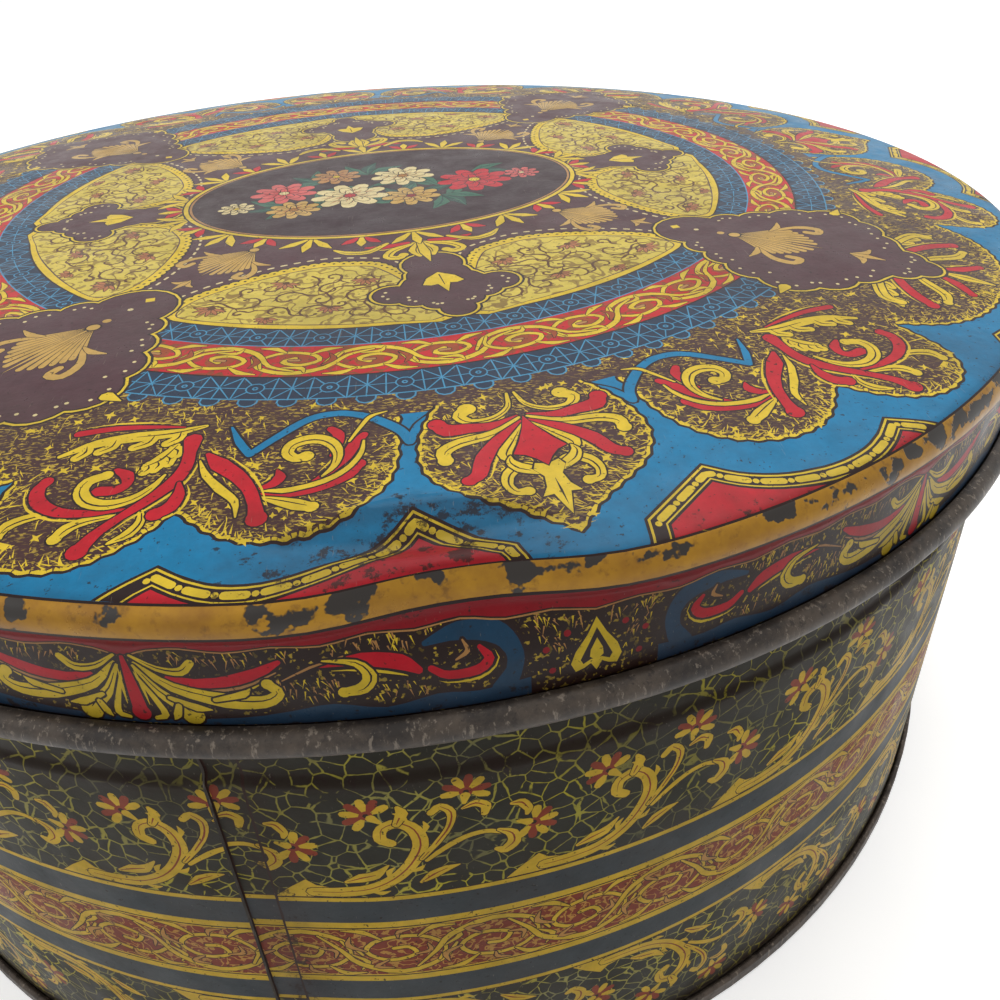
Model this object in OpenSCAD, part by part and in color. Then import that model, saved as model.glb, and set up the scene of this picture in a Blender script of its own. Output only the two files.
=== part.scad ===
// Round lithographed cake tin: a necked body with a lock side seam, a double-seamed base
// and a slip lid with a raised panel, a rounded rim and a curled edge. The table is z = 0, +Z is up.

/* [Sheet] */
// Thickness of the tinplate
sheet = 0.3; // [0.2:0.05:0.4]

/* [Body] */
// Outside diameter of the wall below the neck
body_d = 246; // [150:0.2:320]
// Height of the body from the table to the top of its curled edge
body_h = 105.8; // [70:0.2:200]
// Height of the neck, from the start of the shoulder to the top of the curled edge
neck_h = 29.5; // [20:0.5:50]
// How far the neck is drawn in from the wall
neck_step = 0.7; // [0.5:0.1:2]
// Bend radius of the shoulder, at the middle of the sheet
shoulder_bend = 1.5; // [1.2:0.1:3]
// Outside diameter of the curl at the top of the neck, which turns inward
neck_curl_d = 2.4; // [1.8:0.1:3.4]

/* [Side seam] */
// Direction of the side seam, in degrees from the +X axis
seam_angle = 260; // [0:1:359]
// Width of the folded lock of the side seam
lock_w = 5; // [4:0.5:9]
// Gap left between the folded layers of the lock
lock_gap = 0.1; // [0.06:0.01:0.2]
// Length left single above the base and below the shoulder, where the lock is notched away
lock_notch = 1.6; // [1:0.1:5]

/* [Base] */
// Height of the double seam that joins the base to the wall
seam_h = 3.4; // [2.8:0.1:5]
// Gap left between the layers of the double seam
seam_gap = 0.12; // [0.06:0.01:0.2]
// Height of the underside of the base panel above the table
base_recess = 3.3; // [2.6:0.1:6]
// Bend radius between the base panel and the wall of the seam, at the middle of the sheet
base_bend = 1.2; // [0.8:0.1:1.8]
// Distance from the outside of the wall in to the middle of the stiffening bead of the base panel
base_bead_inset = 23; // [15:1:55]
// Width of the stiffening bead
base_bead_w = 9; // [5:0.5:20]
// Height of the stiffening bead
base_bead_h = 1.3; // [0.6:0.1:2.5]

/* [Lid] */
// Height of the lid from its lower edge to the top of its rounded rim
lid_h = 20.4; // [16:0.1:40]
// Rise of the flat middle of the panel above the rim
lid_crown = 3; // [1:0.5:8]
// Width of the curved border between the flat middle of the panel and the rim
lid_border_w = 44; // [20:1:60]
// Outside radius of the rounded rim of the lid
lid_rim_r = 3; // [2:0.1:5]
// How far the rounded rim stands out past the skirt
lid_rim_overhang = 0.8; // [0.3:0.1:1.2]
// Bend radius below the rim and above the curl, at the middle of the sheet
lid_bend = 1.2; // [0.9:0.1:2]
// Outside diameter of the curl along the lower edge of the lid
lid_curl_d = 3.8; // [2.4:0.1:5]
// How far the skirt turns in to the inner side of the curl
lid_curl_tuck = 1; // [0.4:0.1:1.2]
// Radial clearance between the curl of the lid and the neck
lid_clearance = 0.6; // [0.3:0.1:1]
// Gap between the panel of the lid and the curled edge of the body, at rest
lid_seat_gap = 0.25; // [0.1:0.05:0.5]

/* [Hidden] */

$fn = 96;
half = sheet / 2;

// Number of straight pieces in each kind of bend
border_steps = 8;
rim_steps = 10;
curl_steps = 18;
bend_steps = 6;
bead_steps = 12;
// Points closer than this count as one
same_point = 0.001;

// Body radii at the middle of the sheet
wall_mid_r = body_d / 2 - half;
neck_mid_r = wall_mid_r - neck_step;
neck_out_r = neck_mid_r + half;
shoulder_z = body_h - neck_h;
shoulder_turn = acos(1 - neck_step / (2 * shoulder_bend));
shoulder_rise = 2 * shoulder_bend * sin(shoulder_turn);
neck_curl_mid = neck_curl_d / 2 - half;
neck_curl_z = body_h - neck_curl_d / 2;
neck_curl_angle = 250;

// Double seam: five layers one pitch apart, from the seam wall of the base to the outside
pitch = sheet + seam_gap;
chuck_mid_r = wall_mid_r - pitch;
seam_floor_z = half;
body_fold_z = seam_floor_z + 2 * pitch;
base_fold_z = seam_h - pitch - half;
panel_z = base_recess + half;
bead_half_w = base_bead_w / 2;
bead_mid_r = body_d / 2 - base_bead_inset;

// Lock seam: four layers that step inward from the wall
lock_pitch = sheet + lock_gap;
wall_out_r = body_d / 2;
lock_z0 = base_recess + sheet + lock_notch;
lock_z1 = shoulder_z - lock_notch;
slit_margin = 0.2;
// Depth to which the slit trims the folds on both its sides
slit_trim = lock_gap / 4;

// Lid radii at the middle of the sheet
lid_curl_mid = lid_curl_d / 2 - half;
lid_curl_r = neck_out_r + lid_clearance + lid_curl_d / 2;
skirt_mid_r = lid_curl_r - lid_curl_mid + lid_curl_tuck;
rim_mid = lid_rim_r - half;
rim_turn = acos(1 - lid_rim_overhang / (rim_mid + lid_bend));
rim_arc_r = skirt_mid_r + lid_rim_overhang - rim_mid;
tuck_turn = acos(1 - lid_curl_tuck / (2 * lid_bend));
tuck_drop = 2 * lid_bend * sin(tuck_turn);
lid_curl_end_angle = 460;

// Lid heights: the rim's top lies over the curled edge of the body
rim_top_z = body_h + lid_seat_gap + half;
rim_arc_z = rim_top_z - rim_mid;
lid_curl_z = rim_top_z + half - lid_h + lid_curl_d / 2;
// The curved border leaves the flat middle level and touches the arc of the rim
flat_r = rim_arc_r - lid_border_w;
border_r = (lid_border_w * lid_border_w + lid_crown * lid_crown) / (2 * lid_crown) + rim_mid;
border_slope = asin(lid_border_w / (border_r - rim_mid));
crown_top_z = rim_top_z + lid_crown;

// Points on an arc about a centre, from one angle to another
function arc(centre, r, from, to, steps) =
    [for (i = [0:steps]) let (a = from + (to - from) * i / steps) centre + r * [cos(a), sin(a)]];

// Direction square to a path at one of its points, lengthened at bends to keep the thickness
function across(path, i) =
    let (
        last = len(path) - 1,
        before = path[i] - path[max(i - 1, 0)],
        after = path[min(i + 1, last)] - path[i],
        u = before == [0, 0] ? after / norm(after) : before / norm(before),
        v = after == [0, 0] ? u : after / norm(after),
        m = (u + v) / norm(u + v)
    ) [-m.y, m.x] / (m * v);

// A path shifted sideways, with points on the turning axis kept on it
function shifted(path, d) =
    [for (i = [0:len(path) - 1]) let (p = path[i] + d * across(path, i)) path[i].x == 0 ? [0, p.y] : p];

function backward(list) = [for (i = [len(list) - 1:-1:0]) list[i]];

// A path without the points that repeat where two arcs meet
function joined(path) =
    [for (i = [0:len(path) - 1]) if (i == 0 || norm(path[i] - path[max(i - 1, 0)]) > same_point) path[i]];

// Outline of a sheet of even thickness about the path at its middle
function outline(path) = concat(shifted(path, half), backward(shifted(path, -half)));

// A sheet turned about the axis from the path at its middle
module spun_sheet(path) {
    rotate_extrude()
        polygon(outline(joined(path)));
}

// Height of the base panel at a radius, with its raised bead
function base_panel_z(r) =
    let (d = abs(r - bead_mid_r))
    panel_z + (d < bead_half_w ? base_bead_h * (1 + cos(180 * d / bead_half_w)) / 2 : 0);

// Wall from the hook in the double seam up to the curl at the top of the neck
wall_path = concat(
    [[wall_mid_r + 2 * pitch, base_fold_z]],
    arc([wall_mid_r + pitch, body_fold_z], pitch, 0, -180, 2 * bend_steps),
    arc([wall_mid_r - shoulder_bend, shoulder_z], shoulder_bend, 0, shoulder_turn, bend_steps),
    arc([neck_mid_r + shoulder_bend, shoulder_z + shoulder_rise], shoulder_bend,
        180 + shoulder_turn, 180, bend_steps),
    arc([neck_mid_r - neck_curl_mid, neck_curl_z], neck_curl_mid, 0, neck_curl_angle, curl_steps)
);

// Base from the middle of its panel out to the hook in the double seam
base_path = concat(
    [[0, panel_z]],
    [for (i = [0:bead_steps])
        let (r = bead_mid_r - bead_half_w + base_bead_w * i / bead_steps) [r, base_panel_z(r)]],
    arc([chuck_mid_r - base_bend, panel_z - base_bend], base_bend, 90, 0, bend_steps),
    arc([chuck_mid_r + pitch, seam_floor_z + pitch], pitch, 180, 270, bend_steps),
    arc([chuck_mid_r + 3 * pitch, seam_floor_z + pitch], pitch, 270, 360, bend_steps),
    arc([chuck_mid_r + 3 * pitch, base_fold_z], pitch, 0, 180, 2 * bend_steps),
    [[chuck_mid_r + 2 * pitch, body_fold_z + seam_gap]]
);

// Lid from the middle of its panel, over the rim and down the skirt to the end of its curl
lid_path = concat(
    [[0, crown_top_z]],
    arc([flat_r, crown_top_z - border_r], border_r, 90, 90 - border_slope, border_steps),
    arc([rim_arc_r, rim_arc_z], rim_mid, 90 - border_slope, -rim_turn, rim_steps),
    arc([skirt_mid_r + lid_bend, rim_arc_z - (rim_mid + lid_bend) * sin(rim_turn)], lid_bend,
        180 - rim_turn, 180, bend_steps),
    arc([skirt_mid_r - lid_bend, lid_curl_z + tuck_drop], lid_bend, 0, -tuck_turn, bend_steps),
    arc([skirt_mid_r - lid_curl_tuck + lid_bend, lid_curl_z], lid_bend, 180 - tuck_turn, 180, bend_steps),
    arc([lid_curl_r, lid_curl_z], lid_curl_mid, 180, lid_curl_end_angle, curl_steps)
);

// Place of a point of the lock, given along the seam and out from the axis
function on_seam(p) =
    let (a = seam_angle + (p.x - lock_w / 2) * 180 / (PI * wall_out_r)) p.y * [cos(a), sin(a)];

// Radius at the middle of a layer of the lock, counted inward from the wall
function layer_r(i) = wall_mid_r - i * lock_pitch;

// One folded edge of the sheet, drawn along the path at its middle
module lock_fold(path) {
    translate([0, 0, lock_z0])
        linear_extrude(lock_z1 - lock_z0)
            polygon([for (p = outline(path)) on_seam(p)]);
}

// Slit that parts the two edges, from outside the wall to the gap over the innermost layer
module lock_slit() {
    in_r = layer_r(2.5);
    rotate([0, 0, seam_angle + 90 * lock_w / (PI * wall_out_r)])
        rotate_extrude(angle = 180 * lock_gap / (PI * wall_out_r))
            translate([in_r, lock_z0 - slit_margin])
                square([wall_out_r + slit_margin - in_r, lock_z1 - lock_z0 + 2 * slit_margin]);
}

// Upper edge: folds in beside the slit and runs back under the wall
upper_fold_path = [
    [lock_w - half + slit_trim, wall_mid_r],
    [lock_w - half + slit_trim, layer_r(2)],
    [lock_pitch + half, layer_r(2)]
];

// Lower edge: steps in past the slit, runs under the other hook and folds back over its end
lower_fold_path = [
    [lock_w + lock_gap + half - slit_trim, wall_mid_r],
    [lock_w + lock_gap + half - slit_trim, layer_r(3)],
    [half, layer_r(3)],
    [half, layer_r(1)],
    [lock_w - lock_pitch - lock_gap, layer_r(1)]
];

module body_wall() {
    color("darkolivegreen") difference() {
        union() {
            spun_sheet(wall_path);
            lock_fold(upper_fold_path);
            lock_fold(lower_fold_path);
        }
        lock_slit();
    }
}

module base_plate() {
    color("dimgray") spun_sheet(base_path);
}

module lid() {
    color("firebrick") spun_sheet(lid_path);
}

body_wall();
base_plate();
lid();
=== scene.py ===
import cmath
import math
import random

import bpy
import numpy as np
from mathutils import Matrix, Vector
from mathutils.geometry import delaunay_2d_cdt


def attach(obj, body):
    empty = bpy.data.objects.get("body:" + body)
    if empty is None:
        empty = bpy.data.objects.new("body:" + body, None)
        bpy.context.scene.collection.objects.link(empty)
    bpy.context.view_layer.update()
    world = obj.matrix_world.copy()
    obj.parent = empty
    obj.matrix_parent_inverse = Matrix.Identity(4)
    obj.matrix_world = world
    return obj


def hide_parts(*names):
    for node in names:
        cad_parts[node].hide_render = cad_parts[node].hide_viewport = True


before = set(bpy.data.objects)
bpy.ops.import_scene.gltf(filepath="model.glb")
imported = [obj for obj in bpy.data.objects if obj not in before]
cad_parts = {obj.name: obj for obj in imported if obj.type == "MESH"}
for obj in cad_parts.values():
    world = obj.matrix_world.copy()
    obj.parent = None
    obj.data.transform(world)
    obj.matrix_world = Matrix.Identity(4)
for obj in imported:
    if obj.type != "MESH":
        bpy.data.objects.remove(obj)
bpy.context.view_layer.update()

MM = 0.001
random.seed(7)

# Sizes of the sheet metal, in millimetres, the same as in the solids
SHEET = 0.3
HALF = SHEET / 2
WALL_R = 123.0
BODY_H = 105.8
SHOULDER_Z = 76.3
SHOULDER_BEND = 1.5
NECK_STEP = 0.7
NECK_CURL_D = 2.4
SEAM_PITCH = 0.42
SEAM_H = 3.4
LID_H = 20.4
LID_CROWN = 3.0
LID_BORDER_W = 44.0
RIM_R = 3.0
RIM_OVERHANG = 0.8
LID_BEND = 1.2
LID_CURL_D = 3.8
LID_TUCK = 1.0
LID_CLEARANCE = 0.6
LID_SEAT_GAP = 0.25

# Columns of quads round the plain parts of each shell
COLUMNS = 240
# Directions of the print and of the side seam, in degrees from +X
PRINT_ANGLE = -80.6
SEAM_ANGLE = 258.2
# The pressed strip beside the seam: its width and ramp in degrees, its depth in millimetres
STRIP_W = 2.1
STRIP_RAMP = 8.0
STRIP_DEPTH = 0.8
STRIP_TOP = 84
# Heights of the ends of the printed wall, and its length round the tin
WALL_LOW = 2.6
WALL_HIGH = 96.0
WALL_LENGTH = 2 * math.pi * WALL_R
# The dent in the front of the rim: directions and half widths in degrees, depths in millimetres
DENT_ANGLE = -89
DENT_SPREAD = 10.5
KNOCK_ANGLE = -87
KNOCK_SPREAD = 5.8
KNOCK_DEPTH = 3.2
NECK_PUSH = 1.6
PRESS_DEPTH = 2.0
RIDGE_HEIGHT = 1.3
# Dark line round a stroke, and the shortest edge and the slack of an outline, in millimetres
LINE = 0.22
SHORTEST = 0.004
SLACK = 0.045
# Radii on the flat map of each shell, whose square is 1 wide
LID_PRINT_MAP = 0.41
WALL_PRINT_MAP = (0.2, 0.43)

# Inks as sRGB colours, by the finish that carries them
FINISH_INKS = {
    "varnish": {
        "blue": (24, 122, 168), "pale_blue": (72, 142, 180), "navy": (36, 52, 74), "steel": (28, 62, 88),
        "red": (190, 30, 44), "deep_red": (142, 24, 34), "rose": (206, 96, 92), "salmon": (176, 112, 72),
        "yellow": (222, 190, 52), "cream": (220, 202, 148), "tan": (178, 130, 78), "ochre": (166, 112, 44),
        "fan_gold": (196, 158, 84), "ember": (156, 74, 38), "umber": (94, 60, 34), "line": (38, 24, 24),
        "brown": (80, 52, 58), "aubergine": (54, 35, 42), "leaf": (58, 104, 84), "deep_leaf": (34, 70, 62),
    },
    "leafy": {"ring_red": (192, 36, 42), "field": (212, 190, 82)},
    "stipple": {"stipple": (70, 45, 44)},
    "dark_stipple": {"umber_stipple": (36, 22, 19)},
    "gold": {"gold": (168, 122, 22)},
    "wall_varnish": {
        "slate": (60, 66, 70), "wall_gold": (224, 186, 62), "wall_tan": (200, 148, 80),
        "wall_red": (146, 66, 46), "wall_line": (48, 28, 22),
    },
    "crackle": {"olive": (40, 39, 30)},
    "filigree": {"scroll_red": (134, 58, 40)},
    "neck": {"neck": (112, 102, 88)},
    "bare": {"edge": (30, 26, 24), "bare": (112, 98, 86)},
    "lining": {"inside": (168, 158, 140)},
}
FINISH_OF = {ink: finish for finish, inks in FINISH_INKS.items() for ink in inks}


# Numbers and lines: the real part of a point lies across, the imaginary part points outward

def turn(angle):
    """A number that turns another by an angle in degrees."""
    return cmath.exp(1j * math.radians(angle))


def unit(step):
    return step / abs(step)


def held(values):
    """Values held between 0 and 1."""
    return np.clip(values, 0, 1)


def eased(values):
    """Values held between 0 and 1, with a soft start and a soft end."""
    part = held(values)
    return part * part * (3 - 2 * part)


def degrees_from(angle, middle):
    """Degrees from a direction in degrees to an angle in radians, between -180 and 180."""
    return (np.degrees(angle) - middle + 180) % 360 - 180


def placed(points, place=complex):
    return [place(*p) for p in points]


def polar(angle, radius):
    """A point by its angle from the axis of the motif and its distance from the axis of the tin."""
    return radius * turn(90 - angle)


def heading(line, k):
    """Direction of a line at one of its points."""
    return unit(line[min(k + 1, len(line) - 1)] - line[max(k - 1, 0)])


def reaches(line):
    """Length along a line to each of its points."""
    return np.concatenate([[0], np.cumsum([abs(b - a) for a, b in zip(line, line[1:])])])


def spread(values, count):
    """A few values spread evenly over a count of points."""
    return np.interp(np.linspace(0, 1, count), np.linspace(0, 1, len(values)), values)


def arc(centre, radius, start, end, steps):
    return [centre + radius * turn(start + (end - start) * k / steps) for k in range(steps + 1)]


def disc(centre, radius, steps=12):
    return arc(centre, radius, 0, 360 - 360 / steps, steps - 1)


def beside(path, distance):
    """A path moved sideways to its left, with its bends kept at the same distance."""
    moved = []
    for k, point in enumerate(path):
        before = point - path[max(k - 1, 0)]
        after = path[min(k + 1, len(path) - 1)] - point
        u = unit(before) if before else unit(after)
        v = unit(after) if after else u
        middle = unit(u + v)
        length = (middle * v.conjugate()).real
        moved.append(point + distance * 1j * middle / length)
    return moved


def joined(path):
    """A path without points that lie on each other."""
    kept = [path[0]]
    for point in path[1:]:
        if abs(point - kept[-1]) > 0.001:
            kept.append(point)
    return kept


def smooth(points, steps=4, closed=False):
    """A curve through a few points."""
    points = list(points)
    if closed:
        row = [points[-1]] + points + points[:2]
    else:
        row = [2 * points[0] - points[1]] + points + [2 * points[-1] - points[-2]]
    curve = []
    for a, b, c, d in zip(row, row[1:], row[2:], row[3:]):
        for k in range(steps):
            t = k / steps
            curve.append(0.5 * (2 * b + (c - a) * t + (2 * a - 5 * b + 4 * c - d) * t * t
                                + (3 * b - a - 3 * c + d) * t ** 3))
    return curve if closed else curve + [points[-1]]


def subdivided(path, longest):
    """A path with more points, so that no step is much longer than a length."""
    points = [path[0]]
    for a, b in zip(path, path[1:]):
        count = max(1, int(abs(b - a) / longest))
        points += [a + (b - a) * (k + 1) / count for k in range(count)]
    return points


def inside(outline, spot):
    crossings = 0
    for a, b in zip(outline, outline[1:] + outline[:1]):
        if (a.imag > spot.imag) != (b.imag > spot.imag):
            reach = (b.real - a.real) * (spot.imag - a.imag) / (b.imag - a.imag) + a.real
            crossings += spot.real < reach
    return crossings % 2 == 1


def spot_in(outline):
    """A random spot inside an outline."""
    xs, ys = [p.real for p in outline], [p.imag for p in outline]
    while True:
        spot = complex(random.uniform(min(xs), max(xs)), random.uniform(min(ys), max(ys)))
        if inside(outline, spot):
            return spot


# Motifs: lists of outlines, each with its ink, from the lowest to the highest

def brush(points, widths, steps=4, grow=0.0):
    """Outline of a brush stroke along a curve, whose half width changes along it."""
    line = smooth(points, steps)
    half = spread([w + grow for w in widths], len(line))
    sides = [1j * heading(line, k) * half[k] for k in range(len(line))]
    right = [p - side for p, side in zip(line, sides)]
    left = [p + side for p, side in zip(line, sides)]
    ends = ((line[-1], line[-2], half[-1]), (line[0], line[1], half[0]))
    tip, tail = ([end + width * unit(end - before) * turn(a) for a in (-50, 0, 50)]
                 for end, before, width in ends)
    return right + tip + left[::-1] + tail


def mirror(p):
    return -p.conjugate()


def both(half):
    """A half outline from the axis to the axis, with its mirror image."""
    return half + [mirror(p) for p in reversed(half) if abs(p.real) > 0.001]


def mapped(motif, place):
    return [(ink, [place(p) for p in points]) for ink, points in motif]


def mirrored(motif):
    return mapped(motif, mirror)


def turned(motif, angle):
    spin = turn(angle)
    return mapped(motif, lambda p: p * spin)


def ring(ink, radius):
    return (ink, disc(0j, radius, COLUMNS))


def stroke(ink, points, widths, line=0.0, steps=4, line_ink="line"):
    """A brush stroke, with a dark line round it where line is more than 0."""
    outer = [(line_ink, brush(points, widths, steps, line))] if line else []
    return outer + [(ink, brush(points, widths, steps))]


def swollen(outline, middle, distance):
    """An outline moved away from a middle point."""
    return [p + distance * (p - middle) / abs(p - middle) for p in outline]


def lined(ink, outline, middle, line, line_ink="line"):
    """An outline with a dark line round it."""
    return [(line_ink, swollen(outline, middle, line)), (ink, outline)]


def dashes(line, every, length, half_width, ink, dot=0.0):
    """Dashes along a line, with a dot between them where dot is more than 0."""
    reach = reaches(line)
    xs, ys = [p.real for p in line], [p.imag for p in line]

    def at(s):
        return complex(np.interp(s, reach, xs), np.interp(s, reach, ys))

    motif = []
    place = 0.35 * every
    while place < reach[-1] - 0.3 * every:
        ends = [at(place - length / 2), at(place), at(place + length / 2)]
        motif.append((ink, brush(ends, [half_width, half_width], 2)))
        if dot:
            motif.append((ink, disc(at(place + every / 2), dot, 8)))
        place += every
    return motif


def strokes(table, place, line=LINE):
    """Brush strokes listed as an ink, the points of a curve and the half widths along it,
    with a ball on a broad end."""
    motif = []
    for ink, points, widths in table:
        path = placed(points, place)
        for tone, grow in (("line", line), (ink, 0.0)):
            motif.append((tone, brush(path, widths, 3, grow)))
            if widths[-1] >= 0.6:
                motif.append((tone, disc(path[-1], 1.25 * widths[-1] + grow, 12)))
        motif += veined(ink, path, widths)
    return motif


def veined(ink, path, widths):
    """A dark vein in a yellow stroke, or a thin yellow edge along a red one."""
    if max(widths) < 0.6:
        return []
    curve = smooth(path, 3)
    half = spread(widths, len(curve))
    margin = len(curve) // 6
    line = []
    for k in range(margin, len(curve) - margin):
        away = 0.2 * half[k] if ink == "yellow" else 0.5 + half[k]
        line.append(curve[k] + 1j * heading(curve, k) * away)
    if ink == "yellow":
        return [("line", brush(line, [0.04, 0.12, 0.04], 1))]
    return [("yellow", brush(line, [0.04, 0.2, 0.04], 1))]


def frilled(line):
    """A line with small even waves along it."""
    size, every = 0.16, 2.4
    fine = subdivided(line, every / 5)
    reach = 0.0
    waves = [fine[0]]
    for k in range(1, len(fine) - 1):
        reach += abs(fine[k] - fine[k - 1])
        waves.append(fine[k] + 1j * heading(fine, k) * size * math.sin(2 * math.pi * reach / every))
    return waves + [fine[-1]]


def hatched(line, inward, ink):
    """A dark edge along a line, with a ragged border and short engraved strokes on its inner side."""
    motif = []
    for a, b in zip(line, line[1:]):
        along = unit(b - a)
        side = along * inward
        ragged = [end + random.uniform(0.4, 0.85) * side for end in (b, a)]
        motif.append((ink, [a, b] + ragged))
        foot = a + (b - a) * random.random() + (0.7 + 1.4 * random.random() ** 2) * side
        half = random.uniform(0.1, 0.18) * along
        length = random.uniform(0.6, 1.7)
        tip = foot + length * (side + random.gauss(0.6, 0.3) * along)
        motif.append((ink, [foot - half, foot + half, tip]))
    return motif + [("line", brush(line, [0.2, 0.2], 1))]


def sown(outline, stars, flecks, ink):
    """Small ragged stars and short strokes scattered over a ground."""
    motif = []
    for _ in range(stars):
        spot = spot_in(outline)
        size = random.uniform(0.45, 0.95)
        spin = random.uniform(0, 360)
        reach = [size * (1 if k % 2 else 0.38) * random.uniform(0.7, 1.1) for k in range(8)]
        motif.append((ink, [spot + reach[k] * turn(spin + 45 * k) for k in range(8)]))
    for _ in range(flecks):
        spot = spot_in(outline)
        way = unit(spot) * cmath.exp(1j * random.gauss(0.4, 0.25)) * random.uniform(0.8, 2.0)
        if inside(outline, spot + 1.3 * way):
            belly = complex(0.3, random.choice((0.09, -0.09))) * way
            motif.append((ink, [spot, spot + belly, spot + way]))
    return motif


# Ornament of the lid's panel

# Strokes of the lid's outer ornament: degrees from the axis of a quarter and distance from the middle
PALMETTE = (
    ("yellow", [(0.3, 93.2), (0.7, 96.2), (2.0, 98.0), (3.6, 98.2), (4.4, 96.7), (3.7, 95.3)],
     [0.2, 0.35, 0.45, 0.6, 0.85, 0.95]),
    ("red", [(0.4, 98.4), (2.2, 99.6), (4.0, 99.4), (5.5, 99.2), (6.1, 97.8)], [0.2, 0.7, 0.9, 1.2, 0.9]),
    ("yellow", [(0.3, 98.8), (2.4, 101.2), (4.8, 102.0), (6.0, 103.3), (6.0, 105.0)],
     [0.2, 0.7, 0.8, 0.9, 0.75]),
    ("red", [(0.3, 99.6), (2.2, 102.4), (3.6, 105.4), (4.2, 108.2), (4.9, 109.3)], [0.2, 0.8, 1.0, 0.9, 0.7]),
    ("yellow", [(0.3, 100.2), (1.5, 103.2), (2.3, 105.4), (2.0, 106.8)], [0.15, 0.6, 0.85, 0.4]),
)
SPRAY_A = (
    ("yellow", [(21.8, 102.4), (20.9, 105.0), (19.6, 107.4), (18.4, 109.4), (18.0, 111.9)],
     [0.1, 0.45, 0.55, 0.45, 0.1]),
    ("red", [(17.4, 108.2), (16.2, 108.6), (14.6, 108.2), (13.2, 107.2), (12.0, 105.6), (11.4, 103.8)],
     [0.2, 0.45, 0.5, 0.6, 0.75, 0.65]),
    ("red", [(14.2, 106.6), (13.2, 104.8), (12.3, 102.4), (11.8, 100.0), (11.2, 98.2)],
     [0.15, 0.5, 0.7, 0.75, 0.5]),
    ("yellow", [(17.2, 107.6), (15.8, 107.8), (14.4, 107.2), (13.0, 106.0), (11.9, 104.0), (11.3, 101.6),
                (11.2, 99.4)],
     [0.15, 0.4, 0.4, 0.4, 0.35, 0.3, 0.15]),
    ("yellow", [(17.0, 108.8), (16.0, 109.4), (14.8, 110.2), (13.9, 110.8)], [0.15, 0.6, 0.9, 0.7]),
    ("red", [(17.3, 107.4), (16.5, 106.6), (16.2, 105.4), (16.5, 104.2)], [0.2, 0.6, 0.7, 0.15]),
    ("yellow", [(12.2, 99.4), (11.4, 96.2), (10.8, 94.4), (9.6, 93.6)], [0.15, 0.28, 0.28, 0.1]),
    ("red", [(13.3, 102.0), (12.9, 99.8), (13.0, 97.8), (13.6, 96.6)], [0.15, 0.5, 0.7, 0.5]),
    ("yellow", [(13.6, 105.6), (13.0, 104.0), (12.8, 102.0), (13.1, 100.2), (13.9, 98.8), (15.0, 98.5),
                (16.0, 99.4),
                (16.2, 101.0), (15.6, 102.1), (14.9, 101.8)],
                 [0.15, 0.4, 0.6, 0.8, 0.9, 0.85, 0.75, 0.7, 0.75]),
    ("red", [(21.5, 101.2), (20.4, 103.0), (19.0, 104.9), (17.9, 107.2), (17.2, 109.8), (16.8, 112.2)],
     [0.3, 1.1, 0.95, 0.75, 0.7, 0.95]),
)
SPRAY_B = (
    ("red", [(31.8, 99.2), (29.6, 97.4), (27.0, 96.4), (24.4, 96.0)], [0.6, 0.5, 0.4, 0.1]),
    ("yellow", [(24.6, 112.0), (26.2, 113.2), (27.0, 114.6), (27.2, 116.2)], [0.2, 0.6, 0.8, 0.65]),
    ("yellow", [(27.8, 112.4), (29.4, 113.4), (30.4, 115.2), (30.4, 117.0)], [0.2, 0.6, 0.8, 0.6]),
    ("red", [(24.4, 111.0), (26.2, 112.0), (28.2, 112.4), (29.8, 111.4), (30.6, 109.6), (30.6, 108.0)],
     [0.15, 0.5, 0.7, 0.85, 0.8, 0.65]),
    ("yellow", [(23.8, 110.4), (23.2, 112.6), (23.4, 114.6), (24.2, 116.2)], [0.15, 0.5, 0.7, 0.2]),
    ("red", [(23.2, 98.4), (22.8, 101.0), (22.5, 103.6), (22.7, 106.4), (23.5, 109.4), (24.5, 112.4),
             (25.2, 115.0),
             (25.5, 117.6)], [1.1, 0.7, 0.8, 0.9, 0.7, 0.55, 0.7, 0.95]),
    ("red", [(22.3, 106.4), (21.9, 108.4), (22.0, 110.4), (22.6, 111.6)], [0.2, 0.7, 0.9, 0.8]),
    ("red", [(26.9, 108.6), (25.9, 108.2), (25.5, 107.0), (25.9, 105.6), (26.8, 104.9)],
     [0.8, 0.7, 0.6, 0.75, 0.4]),
    ("yellow", [(23.5, 105.2), (23.8, 107.4), (24.5, 109.4), (25.7, 110.6), (27.0, 110.4), (27.9, 109.0),
                (28.0, 107.2),
                (27.2, 105.9)], [0.2, 0.45, 0.65, 0.8, 0.85, 0.85, 0.8, 0.65]),
)
# Feathered leaves: the points of a spine, the side of its lobes and their length
PLUMES = (
    ([(22.9, 95.6), (25.0, 97.4), (27.4, 98.6), (29.8, 100.6), (31.4, 103.6)], 1, 3.6),
    ([(24.0, 99.6), (24.4, 102.4), (25.2, 104.0)], 1, 2.0),
    ([(43.6, 100.8), (40.4, 101.8), (37.6, 104.0), (36.2, 107.4)], -1, 2.6),
)
CREST = (
    ("yellow", [(43.2, 100.6), (39.8, 101.6), (37.0, 104.2), (36.8, 106.8)], [0.2, 0.9, 1.0, 0.7]),
    ("red", [(43.8, 102.0), (41.0, 104.6), (39.0, 107.8), (37.9, 111.0)], [0.2, 0.8, 0.9, 0.8]),
    ("yellow", [(44.0, 104.6), (42.0, 108.4), (40.6, 111.6), (39.2, 112.6)], [0.2, 0.9, 0.9, 0.6]),
    ("red", [(44.4, 109.0), (43.4, 112.4), (42.0, 115.2)], [0.2, 0.9, 0.6]),
    ("yellow", [(45.0, 110.0), (45.0, 113.6), (45.0, 117.8)], [0.3, 1.2, 0.2]),
)
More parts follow.
